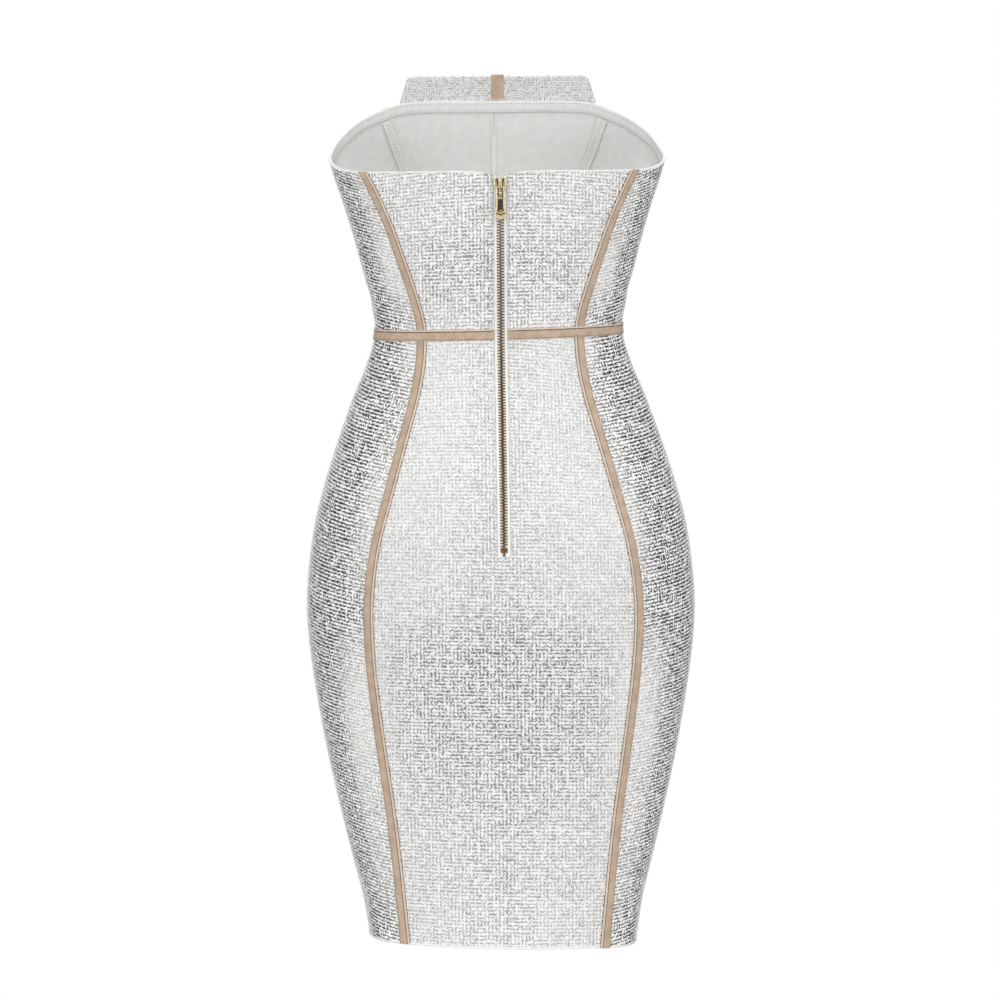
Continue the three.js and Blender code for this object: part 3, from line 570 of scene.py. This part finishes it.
def makeBackSkirt():
    left = gridBetween("skirt", edges["back"], edges["zip"], (True, False))
    right = gridBetween("skirt", edgeOn("past", "zip"), edgeOn("past", "back"), (False, True))
    turn = np.concatenate([left[0], right[0]], axis=1)
    height = np.concatenate([left[1], right[1]], axis=1)
    slit = left[0].shape[1] - 1
    endRow = int(np.searchsorted(rowShares["skirt"], 1.0))

    def besideSlit(row, column):
        return (row < endRow) | (column != slit)

    makeSheet("back_skirt", turn, height, -cloth["thickness"], 0.0,
              [foilKnit, wrongSide, foldEdge], "foil_knit", keeps=besideSlit)


makeBackSkirt()
print("panels made")


# Tapes, facings and channels

softEdge = np.array([0.35, 0.8, 1.0, 1.0, 1.0, 0.8, 0.35])
softPlace = np.array([-1.0, -0.93, -0.75, 0.0, 0.75, 0.93, 1.0])
lipEdge = np.array([0.35, 0.8, 1.0, 1.05, 1.0, 0.85, 0.15, 0.15, 0.7, 0.8, 0.5])
lipPlace = np.array([-1.0, -0.93, -0.75, -0.2, 0.3, 0.4, 0.46, 0.54, 0.62, 0.9, 1.0])


def stripAlong(edge, half, width, offset=0.0, top=0.0, profile=softPlace):
    rows = len(rowShares[half])
    height = np.repeat(rowHeights(half, np.zeros((rows, 1))), len(profile), axis=1)
    for _ in range(8):
        middle = edge(height)
        turn = middle + (offset + profile * width / 2) / speed(middle, height)
        height = rowHeights(half, turn)
    low, high = height[0], height[-1] - top
    share = (height - height[0]) / (height[-1] - height[0])
    return turn, low + share * (high - low)


def crossedBy(turn, height):  # how far the waist tape is lifted by the tapes it crosses
    lift = 0 * turn
    around = np.abs((np.degrees(turn) + 180) % 360 - 180)
    for name in ("front", "back"):
        seam = np.degrees(edges[name](height))
        away = np.abs(around - seam) * np.radians(1) * speed(turn, height)
        share = np.clip((tape["overWidth"] + tape["overRamp"] - away) / tape["overRamp"], 0, 1)
        lift = lift + (tape["thickness"] + tape["clear"]) * share * share * (3 - 2 * share)
    return lift


def towardsCentre(side, name):  # which way the turn grows from a seam to the centre
    return 1 if (side == "left") == (name == "back") else -1


for side in ("left", "right"):
    for half in ("bodice", "skirt"):
        for name in ("front", "back"):
            inward = towardsCentre(side, name)
            place, edge = lipPlace[::inward] * inward, lipEdge[::inward]
            turn, height = stripAlong(edgeOn(side, name), half, tape["width"], profile=place)
            makeSheet(f"{name}_{half}_tape_{side}", turn, height, tape["off"],
                      tape["off"] + tape["thickness"] * edge, [tanTwill], "tan_tape")
    turn, height = stripAlong(edgeOn(side, "front"), "bodice", channel["width"],
                              top=facing["width"] + channel["below"])
    makeSheet(f"bust_channel_{side}", turn, height, channel["off"],
              channel["off"] - channel["thickness"] * softEdge, [wrongSide], "lining_knit")


def makeWaistTape():
    narrowed = lipPlace + 0.12 * np.sin(math.pi * (lipPlace + 1) / 2)  # with a narrower lip
    end = edges["zip"](np.zeros(1))[0]
    turn = np.tile(np.linspace(-end, end, 150), (len(narrowed), 1))
    height = waistAt(turn) + narrowed[:, None] * tape["width"] / 2
    high = tape["off"] + tape["thickness"] * lipEdge[:, None]
    makeSheet("waist_tape", turn, height, tape["off"], high, [tanTwill], "tan_tape",
              lift=crossedBy(turn, height))


makeWaistTape()

down = np.array([-1.0, -0.96, -0.8, -0.5, -0.2, -0.04, 0.0])[:, None] * facing["width"]
sideTurn = math.pi / 2
stopAtZip = math.pi - facing["short"] / facing["reach"]
for name, start, end, count in [
    ("neck_facing_front", -sideTurn, sideTurn, 90),
    ("neck_facing_back_left", sideTurn + facing["gap"], stopAtZip, 50),
    ("neck_facing_back_right", -stopAtZip, -sideTurn - facing["gap"], 50),
]:
    turn = np.tile(np.linspace(start, end, count), (len(down), 1))
    low = facing["off"] - facing["thickness"] * softEdge[:, None]
    makeSheet(name, turn, necklineAt(turn) + down, low, facing["off"], [wrongSide], "lining_knit")
print("tapes and facings made")


# Folded edges at the neckline and the hem, as thin rolls of plain knit

# Half widths out and aside, how far out, and how far in from the edge, in mm
rolls = {"neck": {"half": (1.35, 1.0), "off": -0.9, "inset": 0.9},
         "hem": {"half": (1.0, 1.3), "off": -0.55, "inset": 1.1},
         "zipGap": 0.078}  # radians that the neck's roll stops short of the centre back


def tubeFaces(base, rings, sides):  # rings of points joined into a tube with two ends
    faces = [(base + i * sides + k, base + i * sides + (k + 1) % sides,
              base + (i + 1) * sides + (k + 1) % sides, base + (i + 1) * sides + k)
             for i in range(rings - 1) for k in range(sides)]
    start = tuple(base + k for k in reversed(range(sides)))
    end = tuple(base + (rings - 1) * sides + k for k in range(sides))
    return faces + [start, end]


def ringOf(middle, first, second, sides):  # points on an oval with these two half widths
    turns = [2 * math.pi * k / sides for k in range(sides)]
    return [middle + math.cos(a) * first + math.sin(a) * second for a in turns]


def travelAlong(line):
    return np.concatenate([[0], np.cumsum(np.linalg.norm(np.diff(line, axis=0), axis=-1))])


def makeTubes(name, tubes, material, body="dress", replaces=(), sides=10):
    # Each tube is its middle line, its outward way and its two half widths, in mm
    vertices, faces, uv = [], [], []
    for middle, normal, radius in tubes:
        middle = np.asarray(middle, float)
        normal = np.broadcast_to(np.asarray(normal, float), middle.shape)
        along = np.gradient(middle, axis=0)
        along /= np.linalg.norm(along, axis=-1, keepdims=True)
        aside = np.cross(along, normal)
        aside /= np.linalg.norm(aside, axis=-1, keepdims=True)
        travel = travelAlong(middle)
        faces += tubeFaces(len(vertices), len(middle), sides)
        for i in range(len(middle)):
            vertices += ringOf(middle[i], radius[0] * normal[i], radius[1] * aside[i], sides)
            uv += [(k * 0.6, travel[i]) for k in range(sides)]
    obj = newObject(name, np.array(vertices) * mm, faces, [material], uv)
    settle(obj, body, replaces)


def lineOnCloth(turn, height, off):  # its points in mm, and the outward way at each
    normal = crossed(onCloth, turn, height)
    return onCloth(turn, height) + normal * np.broadcast_to(off, turn.shape)[:, None], normal


rim = np.linspace(rolls["zipGap"] - math.pi, math.pi - rolls["zipGap"], 420)
around = np.linspace(-math.pi, math.pi, 361)
for name, turn, height in [("neck", rim, necklineAt(rim) - rolls["neck"]["inset"]),
                           ("hem", around, hemAt(around) + rolls["hem"]["inset"])]:
    line = lineOnCloth(turn, height, rolls[name]["off"])
    makeTubes(name + "_edge", [(*line, rolls[name]["half"])], foldEdge)


def alongSeam(side, name, half, offset, top=0.0):
    turn, height = stripAlong(edgeOn(side, name), half, 0.0, offset * towardsCentre(side, name),
                              top=top, profile=np.zeros(1))
    return turn[:, 0], height[:, 0]


waistEnd = edges["zip"](np.zeros(1))[0] - 0.005  # radians, clear of the slot
waistTurn = np.linspace(-waistEnd, waistEnd, 400)


def alongWaist(across, off):
    height = waistAt(waistTurn) + across
    return waistTurn, height, off + crossedBy(waistTurn, height)


# The turned-under lip beside each tape, painted paler as a highlight, and a brown line in the groove
# before it as painted shadow: half widths out and aside, how far out, and the same round the waist with
# how far up
tapeEdges = {
    "lip": {"half": (0.42, 0.95), "out": 0.6,
            "waistHalf": (0.4, 0.65), "waistOut": 0.6, "waistUp": 4.3},
    "shadowInGroove": {"half": (0.22, 0.34), "out": 0.28,
               "waistHalf": (0.22, 0.3), "waistOut": 0.35, "waistUp": 3.25},
}
seams = [(side, name, half) for side in ("left", "right") for name in ("front", "back")
         for half in ("bodice", "skirt")]
# Lips painted paler as highlights, and brown lines in the grooves as painted shadow
for part, material, sides in (("lip", tanLipPaintedHighlight, 10), ("shadowInGroove", brownThreadAndShadow, 6)):
    p = tapeEdges[part]
    tubes = [(*lineOnCloth(*alongSeam(*seam, tape[part]), tape["off"] + p["out"]), p["half"])
             for seam in seams]
    waistLine = lineOnCloth(*alongWaist(p["waistUp"], tape["off"] + p["waistOut"]))
    tubes.append((*waistLine, p["waistHalf"]))
    makeTubes(f"tape_{part}s", tubes, material, sides=sides)


# Stitching

# Lines of stitches in mm: across a seam, across the zip or down from the neckline. A tape's
# have how far out they lie too, and the facing's runs are from turn to turn.
sewn = {
    "tape": [(-4.1, tape["thickness"]), (5.25, 0.15)], "waist": -4.0,
    "channel": (-5.2, -1.2, 1.2, 5.2), "facing": (2.2, 8.3, 10.0),
    "facingRuns": [(-1.565, 1.565), (1.58, stopAtZip), (-stopAtZip, -1.58)],
    "centreFront": (-3.0, 3.0), "centreHeights": (6, 204),
    "besideZip": 15.8, "atSlot": 7.5, "zipHeights": [(-205, -6), (6, 149)],
    "proud": 0.05, "proudInside": 0.1,  # mm that they stand off the knit
}


def pointAt(at, travel, line):
    return np.array([np.interp(at, travel, line[:, k]) for k in range(3)])


def stitches(runs, name, material, long=2.4, gap=1.1, thick=0.3):
    sides, rings = 5, [(0, 0.25), (0.15, 1), (0.85, 1), (1, 0.25)]  # share of its length, width
    vertices, faces, uv = [], [], []
    for points, normal in runs:
        travel = travelAlong(points)
        for begin in np.arange(gap, travel[-1] - long, long + gap):
            faces += tubeFaces(len(vertices), len(rings), sides)
            start, end = (pointAt(begin + share * long, travel, points) for share in (0, 1))
            out = pointAt(begin, travel, normal)
            aside = np.cross((end - start) / np.linalg.norm(end - start), out)
            for share, width in rings:
                vertices += ringOf(start + (end - start) * share, thick * width * aside,
                                   0.8 * thick * width * out, sides)
                uv += [(k * 0.3, begin + share * long) for k in range(sides)]
    settle(newObject(name, np.array(vertices) * mm, faces, [material], uv))


seamRuns, insideRuns, besideZip, atSlot = [], [], [], []
for seam in seams:
    seamRuns += [lineOnCloth(*alongSeam(*seam, offset), tape["off"] + out)
                 for offset, out in sewn["tape"]]
seamRuns.append(lineOnCloth(*alongWaist(sewn["waist"], tape["off"] + tape["thickness"])))
stitches(seamRuns, "tape_stitching", brownThreadAndShadow, thick=0.24)
for side in ("left", "right"):
    for offset in sewn["channel"]:
        run = alongSeam(side, "front", "bodice", offset, top=facing["width"] + 1)
        insideRuns.append(lineOnCloth(*run, channel["off"] - channel["thickness"]))
for inset in sewn["facing"]:
    for start, end in sewn["facingRuns"]:
        turn = np.linspace(start, end, 260)
        insideRuns.append(lineOnCloth(turn, necklineAt(turn) - inset,
                                      facing["off"] - facing["thickness"]))
for offset in sewn["centreFront"]:
    height = np.linspace(*sewn["centreHeights"], 60)
    turn = offset / speed(np.zeros(60), height)
    insideRuns.append(lineOnCloth(turn, height, -cloth["thickness"] - sewn["proudInside"]))
stitches(insideRuns, "inside_stitching", greyThread)
for way in (-1, 1):
    for low, high in sewn["zipHeights"]:
        height = np.linspace(low, high, 60)
        for runs, across in ((besideZip, sewn["besideZip"]), (atSlot, sewn["atSlot"])):
            turn = math.pi + way * turnFor(across, height)
            runs.append(lineOnCloth(turn, height, sewn["proud"]))
stitches(besideZip, "zip_stitching", greyThread, thick=0.25)
stitches(atSlot, "slot_stitching", blueThread, long=1.8, gap=1.0)
print("stitching made")


# Bow across the front neckline

def makeBow():
    shares = np.concatenate([np.linspace(0, 0.9, 24), [0.93, 0.96, 0.98, 0.992, 1.0]])
    shares = np.concatenate([-shares[:0:-1], shares])
    rows = np.concatenate([[0, 0.01, 0.03, 0.07], np.linspace(0.12, 0.9, 18),
                           [0.94, 0.97, 0.99, 1.0]])
    tall = bow["top"] - bow["bottom"]
    level = bow["bottom"] + tall * rows[:, None] + 0 * shares
    taper = np.clip((level - bow["taperFrom"]) / (bow["top"] - bow["taperFrom"]), 0, 1)
    end = bow["halfWidth"] + (bow["topHalfWidth"] - bow["halfWidth"]) * taper
    x = np.abs(shares) * end
    corner = bow["corner"]
    inCorner = np.clip(x - (end - corner), 0, corner)
    rounded = corner - np.sqrt(np.maximum(0, corner ** 2 - inCorner ** 2))
    height = bow["bottom"] + rounded + (tall - 2 * rounded) * rows[:, None]
    turn = np.sign(shares) * turnFor(x, height)
    up, out = bow["reach"]
    fromEdge = np.minimum(np.minimum(rows, 1 - rows)[:, None] * up, (1 - np.abs(shares)) * out)
    plump = np.sqrt(np.clip(fromEdge / bow["rounding"], 0.04, 1))
    middle = bow["off"] + bow["thickness"] / 2
    half = bow["thickness"] / 2 * plump
    makeSheet("neck_bow", turn, height, middle - half, middle + half, [bowKnit], "foil_knit",
              place=onBody, aside=bow["aside"])


makeBow()

# The strip in mm: its room before and behind the bow, past its edges and at its own ends
bowStrip = {"halfWidth": 6, "off": 0.15, "thickness": 0.55,
            "before": 0.1, "behind": 0.3, "past": 0.4, "ends": 0.2}


def makeBowStrip():  # from under the bow, up its face, over the top and down to the neckline
    p = bowStrip
    height = np.linspace(bow["bottom"], bow["top"], 40)
    base = onBody(np.zeros(40), height)
    out = crossed(onBody, np.zeros(40), height)
    front = (base + out * (bow["off"] + bow["thickness"] + p["before"]))[:, 1:]
    back = (base + out * (bow["off"] - p["behind"]))[:, 1:][::-1]
    low, high = bow["bottom"] - p["past"], bow["top"] + p["past"]
    under = [[back[-1, 0] - p["behind"], low], [front[0, 0], low]]
    over = [[front[-1, 0], high], [back[0, 0], high]]
    downTo = neckline["height"][0] + p["past"]
    path = np.concatenate([under, front, over, back[back[:, 1] > downTo]])
    travel = travelAlong(path)

    def onLoop(x, along):
        y, z = (np.interp(along, travel, path[:, k]) for k in (0, 1))
        return np.stack([x, y, z], -1)

    along, x = np.meshgrid(np.linspace(p["ends"], travel[-1] - p["ends"], 150),
                           softPlace * p["halfWidth"], indexing="ij")
    makeSheet("neck_bow_strip", x, along, 0.0, p["off"] + p["thickness"] * softEdge, [tanTwill],
              "tan_tape", place=onLoop, aside=bow["aside"])


makeBowStrip()


# Zip

# The tape's section in mm from the centre back and out from the cloth, and its height
zipTape = {"reach": [1.3, 1.9, 4.4, 5.2, 6.1, 6.5, 11.5, 15.9],
           "off": [-0.8, -0.35, -0.35, -0.5, -0.95, -1.8, -1.95, -1.95],
           "thickness": 0.5, "bottom": -213, "top": 148.6}


def makeZipTape(side):  # its inner edge is corded, and stands up between the teeth
    off = np.array(zipTape["off"])
    height = np.linspace(zipTape["bottom"], zipTape["top"], 90)
    height = np.repeat(height[:, None], len(off), axis=1)
    turn = math.pi - turnFor(np.array(zipTape["reach"]), height)
    if side == "right":
        turn = -turn
    else:
        turn, off = turn[:, ::-1], off[::-1]
    makeSheet(f"zip_tape_{side}", turn, height, -zipTape["thickness"], 0.0, [zipTwill],
              "zip_tape", place=onBody, lift=off)


makeZipTape("left")
makeZipTape("right")

# A tooth's outline is mm across and a share of its height, from the root round the head.
# Its depths in mm each have a share that the outline keeps there.
tooth = {"outline": [(3.5, 0.5), (3.5, -0.5), (1.4, -0.42), (0.9, -0.5), (0.1, -0.5),
                     (-0.55, -0.3), (-0.55, 0.3), (0.1, 0.5), (0.9, 0.5), (1.4, 0.42)],
         "depths": [(0, 0.85), (0.25, 1), (1.55, 1), (2.0, 0.7)],
         "tall": 1.2, "off": -1.5, "narrowed": 0.96}


def makeTeeth():
    height = np.linspace(zipPlan["bottom"], zipPlan["top"], 400)
    middle = onBody(np.full(400, math.pi), height)
    travel = travelAlong(middle)
    vertices, faces = [], []
    for way, phase in ((1, 0.0), (-1, 0.5)):
        for k in range(int(travel[-1] / zipPlan["pitch"]) - 1):
            at = (k + 0.5 + phase) * zipPlan["pitch"]
            place = pointAt(at, travel, middle)
            up = pointAt(at + 0.5, travel, middle) - place
            up /= np.linalg.norm(up)
            out = np.array([0, up[2], -up[1]])
            block = tubeFaces(len(vertices), len(tooth["depths"]), len(tooth["outline"]))
            faces += [face[::-way] for face in block]
            for depth, kept in tooth["depths"]:
                narrow = 1 if kept == 1 else tooth["narrowed"]
                for x, share in tooth["outline"]:
                    vertices.append(place + np.array([way * x * narrow, 0, 0])
                                    + up * (share * tooth["tall"] * kept)
                                    + out * (tooth["off"] + depth))
    teeth = newObject("zip_teeth", np.array(vertices) * mm, faces, [antiqueBrass], sharp=35)
    settle(teeth, replaces=("zip_chain",))


def bevelledCopy(node, width, material, body="dress"):  # the solid, its edges rounded
    mesh = bmesh.new()
    mesh.from_mesh(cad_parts[node].data)
    bmesh.ops.remove_doubles(mesh, verts=mesh.verts, dist=1e-6)
    bmesh.ops.dissolve_limit(mesh, angle_limit=math.radians(2), verts=mesh.verts, edges=mesh.edges)
    sharp = [e for e in mesh.edges if len(e.link_faces) == 2 and e.calc_face_angle() > 0.5]
    bmesh.ops.bevel(mesh, geom=sharp, offset=width * mm, segments=3, profile=0.6,
                    affect="EDGES", clamp_overlap=True)
    bmesh.ops.recalc_face_normals(mesh, faces=mesh.faces)
    made = bpy.data.meshes.new(node + "_metal")
    mesh.to_mesh(made)
    mesh.free()
    made.materials.clear()
    made.materials.append(material)
    made.shade_smooth()
    made.set_sharp_from_angle(angle=math.radians(35))
    obj = bpy.data.objects.new(node + "_metal", made)
    scene.collection.objects.link(obj)
    settle(obj, body, (node,))


makeTeeth()
# The slider and the pull, in the gold with a painted reflection in its colour
bevelledCopy("zip_slider", 0.25, reflectionPaintedGold)
bevelledCopy("zip_pull", 0.22, reflectionPaintedGold, "pull_tab")
bevelledCopy("zip_bottom_stop", 0.4, antiqueBrass)


def mirrored(path):
    return [path, [(-x, y, z) for x, y, z in path]]


def bars(paths, half, out=(0, 1, 0)):  # tubes along these lines with the same half widths
    return [(path, out, half) for path in paths]


def makeZipDetails():  # lines in mm across, out and up
    # The top stops as bent prongs, in the gold with painted highlights
    for side, way in (("left", 1), ("right", -1)):
        prong = [(way * 2.6, 86.9, 144.6), (way * 3.5, 87.3, 146.4), (way * 4.8, 87.1, 149.4)]
        makeTubes(f"zip_prong_{side}", bars([prong], (1.0, 0.8)), highlightPaintedGold,
                  replaces=(f"zip_top_stop_{side}",))
    # Round the slider's body: its raised cheeks and the bail, painted near-white as highlights, and dark
    # tubes in the gaps, sides and corners between them as painted shade
    cheeks = mirrored([(5.4, 87.9, 145.2), (5.5, 88.3, 142.4), (4.5, 88.3, 137), (3.9, 88.0, 133.4)])
    bail = [(-1.1, 88.5, 145.3), (-1.2, 91.4, 144.8), (-1.2, 92.2, 141.0), (-1.2, 91.6, 137.4)]
    gaps = mirrored([(3.4, 88.2, 146.4), (2.6, 88.45, 143.6), (2.2, 88.45, 141), (2.5, 88.4, 139.7)])
    sides = mirrored([(5.0, 88.35, 140.4), (4.6, 88.4, 137.5), (4.3, 88.35, 134.6)])
    shadowCorners = mirrored([(6.3, 87.5, 145.0), (6.6, 87.7, 143.2), (6.1, 87.7, 141.0)])
    makeTubes("zip_slider_painted_highlight", bars(cheeks, (0.8, 0.95))
              + bars(mirrored(bail), (0.45, 0.5), (1, 0, 0)), highlightPaintedGold)
    makeTubes("zip_slider_painted_shade", bars(gaps, (0.4, 0.7)) + bars(sides, (0.3, 0.4))
              + bars(shadowCorners, (0.45, 0.4)), shadePaintedBrass)
    # On the pull: a rim down both rails and round the tip and ribs across the tip, painted near-white as
    # highlights, and dark tubes as painted shade in the hollows, the cracks and the window
    rails = mirrored([(3.3, 90.3, 138.2), (3.6, 90.4, 132), (3.4, 90.4, 127), (3.5, 90.4, 121),
                      (3.8, 90.4, 117), (5.2, 90.4, 114.2), (4.9, 90.4, 112), (2.6, 90.4, 109.6),
                      (0.2, 90.4, 109.0)])
    ribs = [[(-3.6, 90.4, z + 2.0), (0, 90.5, z), (3.6, 90.4, z + 2.0)] for z in (113.6, 110.6)]
    shadowRibs = [[(-3.9, 90.35, z + 2.0), (0, 90.4, z), (3.9, 90.35, z + 2.0)] for z in (112.1, 115)]
    shadowCracks = mirrored([(1.7, 90.35, 139.2), (2.0, 90.4, 136), (1.7, 90.35, 129.0)])
    bridge = [(0, 89.7, 133.6), (0, 89.7, 131.6)]
    shadowPlate = [(0, 89.7, 127.3), (0, 89.7, 122), (0, 89.7, 116.7)]
    makeTubes("zip_pull_painted_highlight", bars(rails, (0.6, 0.7)) + bars(ribs, (0.5, 0.6))
              + bars([bridge], (0.5, 1.6)), highlightPaintedGold, "pull_tab")
    makeTubes("zip_pull_painted_shade", bars(shadowRibs, (0.3, 0.5)) + bars(shadowCracks, (0.3, 0.38))
              + bars([shadowPlate], (0.3, 2.6)), shadePaintedBrass, "pull_tab")


makeZipDetails()
print("bow and zip made")


# Studio

studio = {
    "floor": -0.95, "floorRadius": 1.15, "brightest": 3.0,
    "walls": [(0, 0.85), (16, 1.3), (52, 1.35), (66, 0.12), (148, 0.1), (164, 1.2), (180, 1.6)],
    "skirting": [(0, 0.12), (42, 0.25), (64, 2.2), (92, 2.6), (102, 0.12), (150, 0.5), (180, 0.6)],
    "skirtingTop": (-0.35, -0.28),
    "aim": -0.15,  # m, the height that the softboxes face
    "ceiling": 1.15, "ceilingFrom": (0.7, 0.92), "wallFoot": 0.9, "wallFootTop": (0.1, 0.4),
}
view = {"azimuth": 178.4, "distance": 6.2, "height": 0.292, "targetHeight": -0.161,
        "roll": -0.45, "mmPerPixel": 0.95}
softboxes = [
    {"name": "keyLeft", "azimuth": 112, "elevation": 12, "size": (1.0, 1.6), "power": 5.8},
    {"name": "keyRight", "azimuth": 245, "elevation": 12, "size": (1.0, 1.6), "power": 5.8},
    {"name": "fillFront", "azimuth": -2, "elevation": 20, "size": (2.0, 1.6), "power": 14.0},
]


def makeFloor():
    material, tree = newTree("paintedStudioFloor")
    finishTree(tree, {"Base Color": linear("#e4e4e4"), "Roughness": 0.9})
    bpy.ops.mesh.primitive_circle_add(vertices=96, radius=studio["floorRadius"], fill_type="NGON",
                                      location=(0, 0, studio["floor"]))
    floor = bpy.context.object
    floor.name = "floor"
    floor.data.materials.append(material)
    floor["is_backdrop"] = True


def makeRamp(tree, share, stops):  # stops are degrees from the camera's side, and a radiance
    ramp = addNode(tree, "ValToRGB", {"Fac": share})
    points = ramp.color_ramp.elements
    while len(points) < len(stops):
        points.new(0.5)
    for point, (degrees, radiance) in zip(points, stops):
        point.position = degrees / 180
        point.color = (radiance / studio["brightest"],) * 3 + (1,)
    return ramp


def makeWorld():
    # A round white studio: wide lit walls before and behind, darker flags at the sides
    world = bpy.data.worlds.new("studioWorld")
    scene.world = world
    world.use_nodes = True
    tree = world.node_tree
    tree.nodes.clear()
    way = addNode(tree, "TexCoord").outputs["Generated"]
    x, y, z = addNode(tree, "SeparateXYZ", {0: way}).outputs
    aside = addNode(tree, "Math", {0: x}, operation="ABSOLUTE")
    turned = addNode(tree, "Math", {0: aside, 1: y}, operation="ARCTAN2")
    share = addNode(tree, "Math", {0: turned, 1: math.pi}, operation="DIVIDE")
    high = makeRamp(tree, share, studio["walls"])
    low = makeRamp(tree, share, studio["skirting"])
    raised = addNode(tree, "MapRange", {"Value": z, "From Min": studio["skirtingTop"][0],
                     "From Max": studio["skirtingTop"][1]}, interpolation_type="SMOOTHSTEP")
    walls = addNode(tree, "Mix", {"Factor": raised, 6: low, 7: high}, data_type="RGBA").outputs[2]
    above = addNode(tree, "MapRange", {"Value": z, "From Min": studio["ceilingFrom"][0],
                    "From Max": studio["ceilingFrom"][1],
                    "To Max": studio["ceiling"] / studio["brightest"]},
                    interpolation_type="SMOOTHSTEP")
    wash = addNode(tree, "MapRange", {"Value": z, "From Min": studio["wallFootTop"][0],
                   "From Max": studio["wallFootTop"][1], "To Min": studio["wallFoot"]})
    washed = addNode(tree, "VectorMath", {0: walls, "Scale": wash}, operation="SCALE")
    whole = addNode(tree, "VectorMath", {0: washed, 1: above}, operation="ADD")
    room = addNode(tree, "Background", {"Color": whole, "Strength": studio["brightest"]})
    seen = addNode(tree, "Background", {"Color": (1, 1, 1, 1), "Strength": 1.0})
    direct = addNode(tree, "LightPath").outputs["Is Camera Ray"]
    both = addNode(tree, "MixShader", {0: direct, 1: room, 2: seen})
    addNode(tree, "OutputWorld", {"Surface": both})


def makeLight(name, azimuth, elevation, size, power, distance=3.0):
    a, e = math.radians(azimuth), math.radians(elevation)
    way = Vector((math.sin(a) * math.cos(e), -math.cos(a) * math.cos(e), math.sin(e)))
    data = bpy.data.lights.new(name, "AREA")
    data.shape = "RECTANGLE"
    data.size, data.size_y = size
    data.energy = power
    light = bpy.data.objects.new(name, data)
    scene.collection.objects.link(light)
    target = Vector((0, 0, studio["aim"]))
    light.location = target + way * distance
    light.rotation_euler = (-way).to_track_quat("-Z", "Y").to_euler()
    light.visible_camera = False


def makeCamera():
    a = math.radians(view["azimuth"])
    data = bpy.data.cameras.new("photoCamera")
    camera = bpy.data.objects.new("photoCamera", data)
    scene.collection.objects.link(camera)
    camera.location = Vector((math.sin(a) * view["distance"], -math.cos(a) * view["distance"],
                              view["height"]))
    target = Vector((0, 0, view["targetHeight"]))
    facing = target - camera.location
    camera.rotation_euler = facing.to_track_quat("-Z", "Y").to_euler()
    camera.rotation_euler.rotate_axis("Z", math.radians(view["roll"]))
    data.sensor_width = 36
    seenWidth = view["mmPerPixel"] * mm * 1000  # by the picture's 1000 pixels, at the waist
    data.lens = data.sensor_width * facing.length / seenWidth
    data.clip_end = 60
    scene.camera = camera


makeFloor()
makeWorld()
for box in softboxes:
    makeLight(**box)
makeCamera()
scene.view_settings.view_transform = "Standard"
print("studio made")

low, high = (list(map(float, corner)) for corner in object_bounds())
